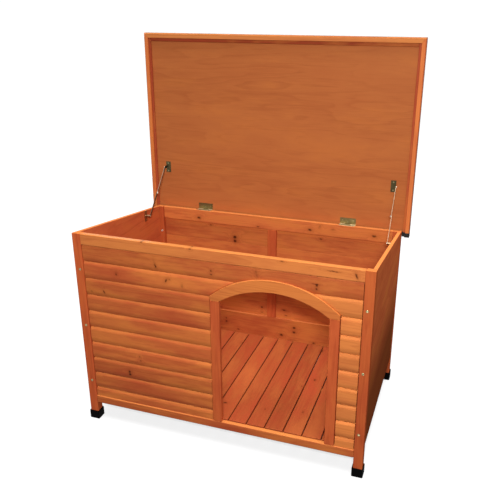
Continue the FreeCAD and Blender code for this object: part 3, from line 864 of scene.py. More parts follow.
@dataclass(frozen=True)
class Metal(Finish):
    """Plated steel with faint drawing lines and dull patches.

    Attributes:
        colour: linear colour of the clean plating.
        roughness: its roughness.
    """

    colour: tuple = (0.66, 0.6, 0.46)
    roughness: float = 0.36

    def build(self, graph: Graph) -> None:
        """Lay the patches and the drawing lines.

        Args:
            graph: nodes of the material.
        """
        place = graph.place()
        patch = graph.noise(place, 60.0, 3.0, 0.6)
        lines = graph.noise(graph.scaled(place, (90.0, 1400.0, 1400.0)), 1.0, 2.0)
        dull = tuple(channel * 0.62 for channel in self.colour)
        wear_and_top_light = graph.ramp(patch, [(0.35, 0.0), (0.7, 1.0)])
        graph.set("Base Color", graph.mix(wear_and_top_light, (*self.colour, 1.0), (*dull, 1.0)))
        graph.set("Metallic", 1.0)
        graph.set("Roughness", graph.math("MULTIPLY_ADD", patch, 0.3, self.roughness - 0.12))
        graph.bump(lines, 0.2, 0.00005)


@dataclass(frozen=True)
class Plastic(Finish):
    """Black moulded plastic with a fine spark-eroded grain.

    Attributes:
        colour: screen colour of its darker places.
    """

    colour: tuple = (3, 3, 3)

    def build(self, graph: Graph) -> None:
        """Lay the patches and the grain.

        Args:
            graph: nodes of the material.
        """
        place = graph.place()
        grain = graph.noise(place, 900.0, 2.0)
        patch = graph.noise(place, 30.0, 3.0)
        light = tuple(channel * 1.5 for channel in self.colour)
        graph.set("Base Color", graph.mix(patch, srgb(*self.colour), srgb(*light)))
        graph.set("Roughness", graph.math("MULTIPLY_ADD", grain, 0.2, 0.5))
        graph.set("Specular IOR Level", 0.02)
        graph.bump(grain, 0.3, 0.0001)


@dataclass(frozen=True)
class Felt(Finish):
    """Black bitumen felt with a mineral grit.

    Attributes:
        wet: screen colour where the bitumen shows.
        dusty: screen colour of the duller patches.
        grain: screen colour of the grit.
    """

    wet: tuple = (14, 14, 15)
    dusty: tuple = (36, 35, 34)
    grain: tuple = (72, 70, 68)

    def build(self, graph: Graph) -> None:
        """Lay the patches and the grit.

        Args:
            graph: nodes of the material.
        """
        place = graph.place()
        grit = graph.noise(place, 420.0, 3.0, 0.7)
        patch = graph.ramp(graph.noise(place, 14.0, 5.0, 0.68), [(0.35, 0.0), (0.65, 1.0)])
        speck = graph.ramp(grit, [(0.5, 0.0), (0.66, 1.0)])
        ground = graph.mix(patch, srgb(*self.wet), srgb(*self.dusty))
        graph.set("Base Color", graph.mix(speck, ground, srgb(*self.grain)))
        graph.set("Roughness", 0.93)
        graph.set("Specular IOR Level", 0.25)
        graph.bump(grit, 0.8, 0.0006)


def knots_of(*rows: tuple) -> tuple:
    """Knots from rows of their values.

    Args:
        *rows: the fields of each knot, in their order.

    Returns:
        The knots.
    """
    return tuple(Knot(*row) for row in rows)


SEED_SHIFTS = (7.31, 3.97, 5.63)
FIBRE_STRETCH = 0.02
CLOUD_STRETCH = 0.28
# colour of the painted shade low on a panel
LOW_SHADE_BROWN = srgb(104, 52, 28)
# colour of the painted shade on the lid's right edge
EDGE_SHADE_BROWN = srgb(128, 46, 24)
KNOT_RED = srgb(140, 60, 28)
KNOT_BROWN = srgb(64, 26, 12)

FRONT_KNOTS = knots_of(
    (-240, 713, 2.4, 1.6, 0, 0.8), (-74, 711, 2.8, 1.6, 0, 0.8), (219, 709, 3.5, 1.4, 0, 0.8),
    (372, 699, 13.0, 1.3, 2, 0.9), (439, 693, 2.2, 6.5, -20, 1.0), (138, 663, 3.6, 5.0, 0, 0.45),
    (141, 651, 3.0, 4.0, 0, 0.45), (-7, 646, 2.4, 2.1, 0, 1.0), (-7, 634, 2.4, 2.1, 0, 1.0),
    (-198, 641, 3.0, 7.5, -14, 0.45), (-196, 635, 1.6, 3.6, -14, 0.8),
    (-341, 592, 4.4, 6.0, 0, 0.4), (-341, 586, 2.4, 2.2, 0, 0.5), (-162, 591, 2.2, 4.8, 30, 1.0),
    (-150, 596, 2.2, 2.0, 0, 0.6), (-107, 580, 2.6, 5.0, -8, 0.5), (325, 646, 2.6, 3.2, 10, 1.0),
    (324, 635, 2.2, 2.4, 0, 1.0), (318, 650, 7.5, 1.2, 3, 0.8), (-393, 516, 1.8, 4.6, -24, 0.9),
    (-440, 512, 2.8, 2.0, 0, 0.5), (-278, 291, 2.4, 1.9, 0, 0.7), (-275, 276, 2.4, 1.9, 0, 0.7),
    (-321, 224, 2.8, 2.6, 0, 1.0), (-320, 213, 3.0, 2.6, 0, 1.0), (-322, 218, 5.0, 7.0, 0, 0.3),
)
BACK_KNOTS = knots_of(
    (-308, 591, 5.5, 3.6, 5, 1.0), (-57, 581, 4.0, 2.0, 0, 0.9), (152, 592, 5.5, 3.4, 8, 1.0),
    (190, 610, 3.4, 5.0, 20, 0.45), (241, 603, 5.0, 3.6, 0, 0.45), (396, 595, 5.5, 3.0, 4, 1.0),
    (-158, 522, 5.0, 3.8, 0, 1.0), (-158, 505, 4.0, 3.6, 0, 1.0), (-158, 513, 9.0, 13.0, 0, 0.25),
    (-261, 562, 4.0, 2.0, 0, 0.8), (194, 556, 4.0, 2.6, 0, 0.8), (-43, 227, 3.0, 2.8, 0, 1.0),
    (-43, 204, 3.0, 2.8, 0, 0.5), (52, 229, 6.0, 2.6, 10, 0.9), (61, 205, 4.5, 2.0, 0, 0.6),
    (-199, 140, 3.0, 3.0, 0, 1.0), (-199, 155, 2.6, 2.2, 0, 0.7), (-145, 111, 5.0, 3.0, 0, 0.7),
    (98, 159, 4.6, 3.4, 0, 1.0), (98, 138, 4.2, 3.6, 0, 1.0), (45, 117, 5.2, 4.0, 0, 1.0),
    (182, 103, 4.0, 3.0, 0, 0.8),
)
FLOOR_KNOTS = knots_of(
    (-12, -212, 5.0, 3.0, 0, 1.0), (228, 242, 3.0, 6.0, 0, 0.7), (250, 29, 3.4, 5.0, 0, 0.7),
    (216, -28, 2.6, 4.0, 0, 0.5), (132, -203, 2.4, 4.0, 0, 0.6), (260, -178, 2.4, 6.0, 0, 0.6),
    (-102, 202, 4.0, 5.0, 0, 0.4), (-300, -60, 4.0, 6.0, 0, 0.8), (402, 120, 4.0, 5.0, 0, 0.8),
)
PINE_FRONT = StainedWood("pine_front", Axis.X, knots=FRONT_KNOTS)
PINE_PALE = StainedWood(
    "pine_pale", Axis.X, (214, 126, 66), (160, 76, 36), redness=0.3, knots=FRONT_KNOTS
)
PINE_BACK = StainedWood("pine_back", Axis.X, (212, 116, 62), (156, 69, 36), knots=BACK_KNOTS)
PINE_X = StainedWood("pine_x", Axis.X, (200, 108, 57), (146, 64, 30))
PINE_Y = StainedWood("pine_y", Axis.Y, (190, 98, 52), (136, 58, 28))
PINE_Z = StainedWood(
    "pine_z", Axis.Z, (196, 93, 51), (146, 57, 30), yellow=(198, 104, 53),
    redness=0.5, sheen=0.0,
)
# lid rails: painted shade on the right rail's outer edge
LID_RAIL = StainedWood(
    "lid_rail", Axis.Z, (224, 126, 68), (170, 80, 40), redness=0.3, painted_top_light=0.0, rim=0.8
)
LID_RAIL_FRONT = StainedWood(
    "lid_rail_front", Axis.X, (222, 136, 74), (166, 84, 42), redness=0.3, painted_top_light=0.0
)
PINE_ARCH = StainedWood("pine_arch", Axis.X, (198, 114, 57), (146, 70, 33), redness=0.25)
# the front batten is a darker copy of the battens' wood: painted shade
BATTEN = StainedWood("batten", Axis.X, (152, 68, 38), (112, 44, 26), painted_top_light=0.0)
BATTEN_SIDE = StainedWood("batten_side", Axis.Z, (184, 88, 54), (136, 56, 34), painted_top_light=0.0)
PINE_KICK = StainedWood(
    "pine_kick", Axis.X, (200, 110, 58), (146, 64, 32), painted_top_light=0.0, knots=BACK_KNOTS
)
PLY_LEFT = StainedWood(
    "ply_left", Axis.Y, (206, 106, 62), (166, 72, 42), figure=11.0, stretch=0.12, lines=11.0,
    redness=0.35, contrast=0.35, sheen=0.0,
)
# right panel: painted shade, darker towards its bottom
PLY_RIGHT = StainedWood(
    "ply_right", Axis.Y, (204, 105, 60), (160, 70, 39), figure=11.0, stretch=0.12, lines=11.0,
    redness=0.35, contrast=0.35, sheen=0.0, painted_low_shade=0.75,
)
PLY_LID = StainedWood(
    "ply_lid", Axis.X, (184, 105, 57), (152, 76, 40), red=(164, 82, 45), redness=0.2,
    painted_top_light=0.0, figure=15.0, stretch=0.13, lines=9.0, contrast=0.3,
)
FLOOR_WOOD = StainedWood(
    "floor_wood", Axis.Y, (164, 81, 44), (126, 52, 28), yellow=(178, 96, 50), redness=0.6,
    painted_top_light=0.0, knots=FLOOR_KNOTS, across=Axis.Z, contrast=0.3,
)
FOOT_PLASTIC = Plastic("foot_plastic")
ROOF_FELT = Felt("roof_felt")
ZINC = Metal("zinc_plate", (0.70, 0.66, 0.54), 0.34)
POLISHED = Metal("polished_zinc", (0.96, 0.92, 0.82), 0.3)
# one hinge plating in two copies: a light one with a painted highlight for the wall leaves and
# pins, a dark one for the lid leaves
HINGE_ZINC_PAINTED_HIGHLIGHT = Metal("hinge_zinc_painted_highlight", (0.80, 0.68, 0.44), 0.34)
HINGE_ZINC_DARK = Metal("hinge_zinc_dark", (0.26, 0.20, 0.085), 0.42)
BRACKET_ZINC = Metal("bracket_zinc", (0.10, 0.085, 0.04), 0.38)
SCREW_ZINC = Metal("screw_zinc", (0.36, 0.31, 0.16), 0.36)
PLATE_ZINC = Metal("plate_zinc", (0.42, 0.25, 0.13), 0.38)
# one stay plating in three copies: the arms' own dark brass, and lighter ones with a painted
# highlight for the upper-left and right arms
ARM_ZINC = Metal("arm_zinc", (0.22, 0.14, 0.08), 0.42)
ARM_ZINC_PAINTED_HIGHLIGHT = Metal("arm_zinc_painted_highlight", (0.50, 0.35, 0.24), 0.36)
ARM_ZINC_PAINTED_SOFT_HIGHLIGHT = Metal("arm_zinc_painted_soft_highlight", (0.33, 0.215, 0.135), 0.38)


# ---------------------------------------------------------------- sub-assemblies

@dataclass
class Frame:
    """Corner posts on plastic caps.

    Attributes:
        edge: width of the posts' softened edges.
        cap_floor: thickness under a post.
        cap_wall: thickness round it.
        cap_height: height of a cap.
    """

    edge: float = 1.6
    cap_floor: float = 3.0
    cap_wall: float = 3.5
    cap_height: float = 32.0

    def build(self) -> None:
        """Make the posts, whose tops follow the walls' slope, and the caps."""
        for side, x in (("left", -S.half), ("right", S.inner)):
            for end, y in (("front", S.front), ("rear", S.rear - S.post)):
                outline = np.array(
                    [(x, y), (x + S.post, y), (x + S.post, y + S.post), (x, y + S.post)]
                )
                post = carried(outline, Axis.Z, self.cap_floor, S.top_at(outline[:, 1]))
                name = f"post_{end}_{side}"
                write_piece(
                    name + "_wood", [post], PINE_Z, nodes=(name,), bevel=self.edge
                )
        caps = [
            self.cap(x, y)
            for x in (-S.half, S.inner)
            for y in (S.front, S.rear - S.post)
        ]
        write_piece("foot_caps_plastic", caps, FOOT_PLASTIC, nodes=("foot_caps",))

    def cap(self, x: float, y: float) -> Shell:
        """Cup round a post's foot: rounded squares from its floor over its rim.

        Each level is a square's half side, height and corner radius.

        Args:
            x: left face of the post.
            y: front face of the post.

        Returns:
            The closed surface.
        """
        middle = np.array([x + S.post / 2, y + S.post / 2])
        half = S.post / 2
        levels = [
            (half + 1.5, 0.0, 3.0), (half + 3.1, 0.5, 3.0), (half + self.cap_wall, 1.8, 3.0),
            (half + self.cap_wall, self.cap_height - 1.6, 3.0),
            (half + 3.0, self.cap_height - 0.4, 2.8), (half + 2.0, self.cap_height, 2.0),
            (half + 0.15, self.cap_height, 1.0), (half + 0.15, self.cap_floor, 1.0),
        ]
        loops = []
        for reach, z, corner in levels:
            turn = np.linspace(0, math.pi / 2, 5)
            arc = np.stack([np.cos(turn), np.sin(turn)], axis=1) * corner + (reach - corner)
            quarter = [arc]
            for _ in range(3):
                quarter.append(np.stack([-quarter[-1][:, 1], quarter[-1][:, 0]], axis=1))
            flat = np.concatenate(quarter) + middle
            loops.append(np.column_stack([flat, np.full(len(flat), z)]))
        return loft(np.array(loops))


@dataclass
class FrontWall:
    """Rails, boards with rounded joints, and the frame of the arched doorway.

    Attributes:
        face: boards' faces behind the posts' faces.
        lip: depth of the boards' rounding.
        roll_high: its height at the upper edge.
        roll_low: its height at the lower edge.
        back: boards' backs behind the posts' faces.
        gap: room between the boards and the arch.
        steps: points of a rounding.
        slit: room at the boards' ends.
        rows: rows of boards, with the uncut one at the top.
        rail_thickness: top rail's.
        frame_thickness: jambs' and arch's.
        arch_proud: arch before the posts' faces.
        jamb_gap: room between jamb and arch.
        foot_round: radius of the arch's outer corners.
    """

    face: float = 3.0
    lip: float = 5.5
    roll_high: float = 12.5
    roll_low: float = 21.0
    back: float = 16.0
    gap: float = 0.3
    steps: int = 7
    slit: float = 2.0
    rows: int = 10
    rail_thickness: float = 25.0
    frame_thickness: float = 15.0
    arch_proud: float = 1.5
    jamb_gap: float = 0.4
    foot_round: float = 9.0

    def roll(self, height: float, face: float, sign: float) -> tuple:
        """Arc from the face, square to it, over a height and back by the lip.

        Its radius is the sum of the squares of height and lip over twice the lip.

        Args:
            height: stretch of the edge that rolls over.
            face: place of the face.
            sign: one where the back lies further along Y, minus one where it doesn't.

        Returns:
            Places along Y and heights from the start of the arc.
        """
        radius = (height**2 + self.lip**2) / (2 * self.lip)
        turn = np.linspace(0, math.asin(height / radius), self.steps)
        return face + sign * radius * (1 - np.cos(turn)), radius * np.sin(turn)

    def profile(
        self,
        low: float,
        high: float,
        face: float,
        back: float,
        round_low: bool = True,
        round_high: bool = True,
    ) -> np.ndarray:
        """End view of a board whose outer face rolls over at its long edges.

        Args:
            low: height of the lower edge.
            high: height of the upper edge.
            face: place of the outer face.
            back: place of the inner face.
            round_low: whether the lower edge rolls over.
            round_high: whether the upper edge does.

        Returns:
            Points (y, z).
        """
        sign = 1.0 if face < back else -1.0
        away, rise = self.roll(self.roll_high, face, sign)
        top = np.column_stack([away, high - self.roll_high + rise])[::-1]
        away, rise = self.roll(self.roll_low, face, sign)
        bottom = np.column_stack([away, low + self.roll_low - rise])
        if not round_low:
            bottom = np.array([(face, low)])
        if not round_high:
            top = np.array([(face, high)])
        levels = np.linspace(top[-1, 1], bottom[0, 1], 7)[1:-1]
        flat = np.column_stack([np.full(len(levels), face), levels])
        return np.concatenate([[(back, low), (back, high)], top, flat, bottom])

    def arch_height(self, x: np.ndarray) -> np.ndarray:
        """Top of the cut for the arch: a circle over its chord.

        Args:
            x: places across the wall.

        Returns:
            Heights, or a place far below where there is no cut.
        """
        half, rise = S.half_frame + self.gap, S.arch_outer + self.gap
        radius = (half**2 + rise**2) / (2 * rise)
        away = np.clip(radius**2 - (x - S.door_centre) ** 2, 0, None)
        curve = S.jamb_top + S.arch_side + rise - radius + np.sqrt(away)
        return np.where(np.abs(x - S.door_centre) < half, curve, -1e3)

    def arch_half(self, z: np.ndarray) -> np.ndarray:
        """Half width of the cut for the arch, by the same circle.

        Args:
            z: heights.

        Returns:
            Half widths there.
        """
        half, rise = S.half_frame + self.gap, S.arch_outer + self.gap
        radius = (half**2 + rise**2) / (2 * rise)
        up = z - (S.jamb_top + S.arch_side + rise - radius)
        curve = np.sqrt(np.clip(radius**2 - up**2, 0, None))
        return np.where(z < S.jamb_top + S.arch_side, half, curve)

    def build(self) -> None:
        """Make the rails, the boards and the door's frame."""
        front = S.front
        rail = np.array([(front, S.boards_high), (front + self.rail_thickness, S.boards_high)])
        tops = np.column_stack([rail[::-1, 0], S.top_at(rail[::-1, 0])])
        sill = (front, front + S.sill_thickness)
        write_piece(
            "front_top_rail_wood",
            [carried(np.concatenate([rail, tops]), Axis.X, -S.inner, S.inner)],
            PINE_PALE, nodes=("front_top_rail",), bevel=2.2, segments=3,
        )
        write_piece(
            "front_bottom_rail_wood",
            [box((-S.inner, S.inner), sill, (S.sill_low, S.boards_low))],
            PINE_FRONT, nodes=("front_bottom_rail",), bevel=3.4, segments=4,
        )
        self.boards()
        self.door_frame()

    def boards(self) -> None:
        """Make the rows left and right of the doorway, the arch cut out of the upper two."""
        face, back = S.front + self.face, S.front + self.back
        top = self.profile(S.boards_high - S.pitch, S.boards_high, face, back)
        cut = np.linspace(-S.half_frame, S.half_frame, 61) + S.door_centre
        stations = np.concatenate([[self.slit - S.inner], cut, [S.inner - self.slit]])
        lift = self.arch_height(stations)[:, None]
        loops = np.stack(
            [
                np.broadcast_to(stations[:, None], (len(stations), len(top))),
                np.broadcast_to(top[:, 0], (len(stations), len(top))),
                np.maximum(top[:, 1], lift),
            ],
            axis=-1,
        )
        write_piece(
            "front_board_01_wood", [loft(loops)], PINE_FRONT,
            nodes=("front_board_01",), bevel=0.9,
        )
        right = []
        for row in range(2, self.rows + 1):
            high = S.boards_high - S.pitch * (row - 1)
            low = max(high - S.pitch, S.boards_low)
            outline = self.profile(low, high, face, back, round_low=row < self.rows)
            reach = self.arch_half(outline[:, 1]) if row == 2 else S.half_frame
            node = f"front_board_left_{row:02d}"
            left = carried(outline, Axis.X, self.slit - S.inner, S.door_centre - reach - self.slit)
            write_piece(
                node + "_wood", [left], PINE_FRONT, nodes=(node,), bevel=0.9
            )
            right.append(
                carried(outline, Axis.X, S.door_centre + reach + self.slit, S.inner - self.slit)
            )
        write_piece(
            "front_boards_right_wood", right, PINE_PALE,
            nodes=("front_boards_right",), bevel=0.9,
        )

    def door_frame(self) -> None:
        """Make the jambs, and the arch as sections from foot to foot."""
        rear = S.front + self.frame_thickness
        for side, sign in SIDES:
            ends = sorted((S.door_centre + sign * S.half_door, S.door_centre + sign * S.half_frame))
            heights = (S.boards_low, S.jamb_top - self.jamb_gap)
            jamb = box(tuple(ends), (S.front, rear), heights)
            write_piece(
                f"door_jamb_{side}_wood", [jamb], PINE_Z,
                nodes=("door_jamb_" + side,), bevel=1.8, segments=3,
            )
        outer = self.arc(S.half_frame, S.arch_outer, S.jamb_top + S.arch_side)
        inner = self.arc(S.half_door, S.arch_inner, S.jamb_top)
        turn = np.radians(np.linspace(270, 180, 6))
        foot = np.column_stack([np.cos(turn), np.sin(turn)]) * self.foot_round
        foot += (self.foot_round - S.half_frame, S.jamb_top + self.foot_round)
        outer = np.concatenate([foot, outer, foot[::-1] * (-1, 1)]) + (S.door_centre, 0)
        inner = np.concatenate([inner[:1], inner, inner[-1:]]) + (S.door_centre, 0)
        spread = np.linspace(0, 1, len(outer))
        inner = self.even(inner, spread)
        face = S.front - self.arch_proud
        sections = [
            [(ox, face, oz), (ox, rear, oz), (ix, rear, iz), (ix, face, iz)]
            for (ox, oz), (ix, iz) in zip(outer, inner)
        ]
        write_piece(
            "door_arch_wood", [loft(np.array(sections))], PINE_ARCH,
            nodes=("door_arch",), bevel=1.8, segments=3,
        )

    @staticmethod
    def arc(half: float, rise: float, base: float, count: int = 45) -> np.ndarray:
        """Arc over a chord, whose radius follows from the chord and the rise.

        Args:
            half: half the chord.
            rise: height of the arc.
            base: height of the chord.
            count: number of points.

        Returns:
            Points (x, z) from left to right.
        """
        radius = (half**2 + rise**2) / (2 * rise)
        turn = np.linspace(-1, 1, count) * math.asin(half / radius)
        centre = base + rise - radius
        return np.column_stack([radius * np.sin(turn), centre + radius * np.cos(turn)])

    @staticmethod
    def even(path: np.ndarray, spread: np.ndarray) -> np.ndarray:
        """Points along a path, by its length.

        Args:
            path: corners (x, z) of the path.
            spread: shares of its length.

        Returns:
            Points (x, z) at those shares.
        """
        steps = np.concatenate([[0], np.cumsum(np.linalg.norm(np.diff(path, axis=0), axis=1))])
        return np.column_stack(
            [np.interp(spread * steps[-1], steps, path[:, column]) for column in (0, 1)]
        )


@dataclass
class SideWalls:
    """Plain panels between the posts, whose lower edge falls inward to the floor.

    Attributes:
        low: height of the lower edge's outer arris.
        thickness: panels'.
        inset: panels' faces behind the posts' faces.
        drip: fall of the lower edge.
    """

    low: float = 104.0
    thickness: float = 12.0
    inset: float = 1.0
    drip: float = 6.5

    def build(self) -> None:
        """Make both panels."""
        y0, y1 = S.front + S.post, S.rear - S.post
        outer = S.half - self.inset
        for side, sign in SIDES:
            ends = sorted((sign * outer, sign * (outer - self.thickness)))
            tops = [(y1, S.top_at(y1)), (y0, S.top_at(y0))]
            outline = np.array([(y0, self.low), (y1, self.low), *tops])
            panel = carried(outline, Axis.X, *ends)
            inside = np.abs(np.abs(panel.points[:, 0]) - outer) > 1.0
            lowest = panel.points[:, 2] < self.low + 1.0
            panel.points[:, 2] -= np.where(inside & lowest, self.drip, 0.0)
            write_piece(
                f"side_panel_{side}_wood", [panel],
                PLY_LEFT if side == "left" else PLY_RIGHT,
                nodes=("side_panel_" + side,), bevel=0.8,
            )


@dataclass
class BackWall:
    """Boards rounded as the front's, with a top rail, a batten and a kick board inside.

    Attributes:
        front_wall: wall whose boards' rounding these take.
        rows: number of boards.
        rail_low: lower edge of the top rail.
        rail_thickness: top rail's and batten's.
        batten_half: half the batten's width.
        kick_high: upper edge of the kick board.
    """

    front_wall: FrontWall
    rows: int = 9
    rail_low: float = 574.5
    rail_thickness: float = 10.0
    batten_half: float = 18.0
    kick_high: float = 191.5

    def build(self) -> None:
        """Make the boards, then the pieces on their inner face."""
        inner = S.back_inner
        pitch = (S.rear_height - S.sill_low) / self.rows
        boards = []
        for row in range(self.rows):
            z = S.sill_low + pitch * row
            uppermost = row == self.rows - 1
            outline = self.front_wall.profile(z, z + pitch, S.rear, inner, round_high=not uppermost)
            if uppermost:
                outline[1:3, 1] = S.top_at(outline[1:3, 0])
            boards.append(carried(outline, Axis.X, -S.inner, S.inner))
        write_piece(
            "back_boards_wood", boards, PINE_BACK,
            nodes=("back_boards",), bevel=0.5,
        )
        face = inner - self.rail_thickness
        tops = [(inner, S.top_at(inner)), (face, S.top_at(face))]
        outline = np.array([(face, self.rail_low), (inner, self.rail_low), *tops])
        write_piece(
            "back_top_rail_wood", [carried(outline, Axis.X, -S.inner, S.inner)], PINE_BACK,
            nodes=("back_top_rail",), bevel=1.4,
        )
        batten = box(
            (-self.batten_half, self.batten_half), (face, inner), (self.kick_high, self.rail_low)
        )
        write_piece(
            "back_batten_wood", [batten], PINE_Z,
            nodes=("back_batten",), bevel=1.4,
        )
        kick = box(
            (-S.inner, S.inner), (inner - S.kick_thickness, inner), (S.floor_low, self.kick_high)
        )
        write_piece(
            "back_kick_board_wood", [kick], PINE_KICK,
            nodes=("back_kick_board",), bevel=1.4,
        )


@dataclass
class Floor:
    """Boards from front to back on cleats, a joist and side bearers.

    Attributes:
        count: number of boards.
        gap: room between two boards.
        clearance: room at the boards' ends.
        board_front: boards' ends behind the front posts' faces.
        bearer_depth: depth of all that carries the boards.
        bearer: its width.
    """

    count: int = 15
    gap: float = 4.0
    clearance: float = 0.5
    board_front: float = 22.5
    bearer_depth: float = 25.0
    bearer: float = 20.0

    def build(self) -> None:
        """Make the boards, then what carries them."""
        half = S.half - S.post / 2
        pitch = (2 * half + self.gap) / self.count
        boards = []
        for index in range(self.count):
            outermost = index in (0, self.count - 1)
            y0 = S.front + (S.post + self.clearance if outermost else self.board_front)
            rear = S.rear - S.post if outermost else S.back_inner - S.kick_thickness
            y1 = rear - self.clearance
            x = -half + pitch * index
            boards.append(box((x, x + pitch - self.gap), (y0, y1), (S.floor_low, S.floor_high)))
        write_piece(
            "floor_boards_wood", boards, FLOOR_WOOD, nodes=("floor_boards",),
            bevel=1.6, segments=3,
        )
        z = (S.floor_low - self.bearer_depth, S.floor_low)
        span = (-S.inner, S.inner)
        sill_back = S.front + S.sill_thickness
        middle = (sill_back + S.back_inner) / 2
        cleats = [
            box(span, (y, y + self.bearer), z) for y in (sill_back, S.back_inner - self.bearer)
        ]
        write_piece(
            "floor_cleats_wood", cleats, PINE_X,
            nodes=("floor_cleats",), bevel=1.2,
        )
        joist = box(span, (middle - self.bearer / 2, middle + self.bearer / 2), z)
        write_piece(
            "floor_joist_wood", [joist], PINE_X,
            nodes=("floor_joist",), bevel=1.2,
        )
        along = (S.front + S.post, S.rear - S.post)
        bearers = [
            box((x, x + self.bearer), along, z) for x in (-S.inner - self.bearer, S.inner)
        ]
        write_piece(
            "floor_side_bearers_wood", bearers, PINE_Y,
            nodes=("floor_side_bearers",), bevel=1.2,
        )


@dataclass
class Lid:
    """Ply panel in a frame of rails and battens, under felt, made level from the pin.

    Attributes:
        panel: thickness of the panel.
        rail: width of the side rails on the panel.
        rail_depth: depth of the rails.
        batten: width of the side battens.
        batten_depth: depth of the battens.
        front_rail: width of the front rail.
        front_batten: width of the front batten.
        lip: rails' faces beyond the panel's edge, flush with the felt.
        skirt: depth of the rails that the felt covers.
        round: radius of the rails' outer arris.
        edge: width of the softened edges of rails.
        batten_edge: the same of battens.
    """

    panel: float = 6.0
    rail: float = 14.0
    rail_depth: float = 14.0
    batten: float = 8.5
    batten_depth: float = 7.0
    front_rail: float = 16.0
    front_batten: float = 12.0
    lip: float = 2.0
    skirt: float = 4.1
    round: float = 4.5
    edge: float = 1.4
    batten_edge: float = 1.2

    def build(self) -> None:
        """Make the panel, the rails with mitred front corners, and the battens."""
        half, far, near = S.wood_half, S.wood_front, S.wood_rear
        gap = S.lid_gap
        panel = box((-half, half), (-far, near), (gap, gap + self.panel))
        self.write("lid_panel", panel, PLY_LID, self.batten_edge / 2)
        rail = half - self.rail
        batten = rail - self.batten
        shallow = (gap - self.batten_depth, gap)
        stop = far - self.front_rail
        across = (rail, half, half + self.lip)
        along = (stop, far, far + self.lip)
        for side, sign in SIDES:
            section = self.section(rail, half, gap)
            mitre = -np.interp(section[:, 0], across, along)
            section[:, 0] *= sign
            bar = carried(section[::sign], Axis.Y, mitre[::sign], near)
            self.write(f"lid_rail_{side}", bar, LID_RAIL, self.edge)
            x = sorted((sign * batten, sign * rail))
            strip = box(x, (-stop, near), shallow)
            self.write(f"lid_batten_{side}", strip, BATTEN_SIDE, self.batten_edge)
        section = self.section(stop, far, gap)
        mitre = np.interp(section[:, 0], along, across)
        section[:, 0] *= -1
        bar = carried(section, Axis.X, -mitre, mitre)
        self.write("lid_rail_front", bar, LID_RAIL_FRONT, self.edge)
        strip = box((-batten, batten), (-stop, self.front_batten - stop), shallow)
        self.write("lid_batten_front", strip, BATTEN, self.batten_edge)

    def section(self, inner: float, outer: float, top: float) -> np.ndarray:
        """Section of a rail, whose lower part is flush with the felt and rounded.

        Args:
            inner: place of its inner face.
            outer: place of its outer face under the felt.
            top: height of its upper face.

        Returns:
            Points (place, height), clockwise.
        """
        low, step = top - self.rail_depth, top - self.skirt
        turn = np.linspace(0, math.pi / 2, 5)
        arc = np.column_stack([np.cos(turn), -np.sin(turn)]) * self.round
        arc += (outer + self.lip - self.round, low + self.round)
        square = [(inner, low), (inner, top), (outer, top), (outer, step), (outer + self.lip, step)]
        return np.concatenate([square, arc])

    @staticmethod
    def write(node: str, shell: Shell, finish: Finish, bevel: float) -> None:
        """Write a piece of the level lid in its open place.

        Args:
            node: CAD node that it stands for.
            shell: its surface.
            finish: its finish.
            bevel: width of its softened edges.
        """
        write_piece(node + "_wood", [on_lid(shell)], finish, "lid", (node,), bevel=bevel)


@dataclass
class Screws:
    """Domed heads with a cross recess, on the posts.

    Attributes:
        steps: loops of a head.
        count: points of a loop.
        radius: radius of a head.
        rise: height of a head.
        inset: screws of the front posts from the posts' outer faces.
        heights: their heights.
        rear_inset: screws of the rear posts from the posts' outer faces.
        rear_height: their height.
    """

    steps: int = 10
    count: int = 32
    radius: float = 4.3
    rise: float = 1.6
    inset: float = 18.0
    heights: tuple = (160.0, 380.0, 588.0)
    rear_inset: float = 20.0
    rear_height: float = 520.0

    def head(self) -> Shell:
        """Dome over local Z, with a cross pressed into it.

        The dome falls as the root of one less the square of the radius, and the
        cross is cut where either arm's distance is under a seventh of the radius.

        Returns:
            The closed surface.
        """
        reach = np.concatenate([[1.0, 1.0], np.linspace(0.96, 0.06, self.steps)])
        rise = np.sqrt(np.clip(1.04 - reach**2, 0, None)) * self.rise
        rise[0] = 0.0
        loops = rings(reach * self.radius, rise, self.count)
        across = np.minimum(np.abs(loops[..., 0]), np.abs(loops[..., 1])) / self.radius
        away = np.linalg.norm(loops[..., :2], axis=-1) / self.radius
        cross = (across < 0.15) & (away < 0.62)
        loops[..., 2] -= np.where(cross, self.rise * 0.55, 0)
        return loft(loops)

    def build(self) -> None:
        """Make the heads on the front posts' faces and on the rear posts' inner faces."""
        head = self.head()
        shells = [
            moved(head, (sign * (S.half - self.inset), S.front, z), FACING["front"])
            for _, sign in SIDES
            for z in self.heights
        ]
        write_piece("post_screws_heads", shells, SCREW_ZINC, nodes=("post_screws",))
        reach, face = S.half - self.rear_inset, S.rear - S.post
        inside = [
            moved(head, (sign * reach, face, self.rear_height), FACING["front"])
            for _, sign in SIDES
        ]
        write_piece("rear_post_screws_heads", inside, POLISHED)


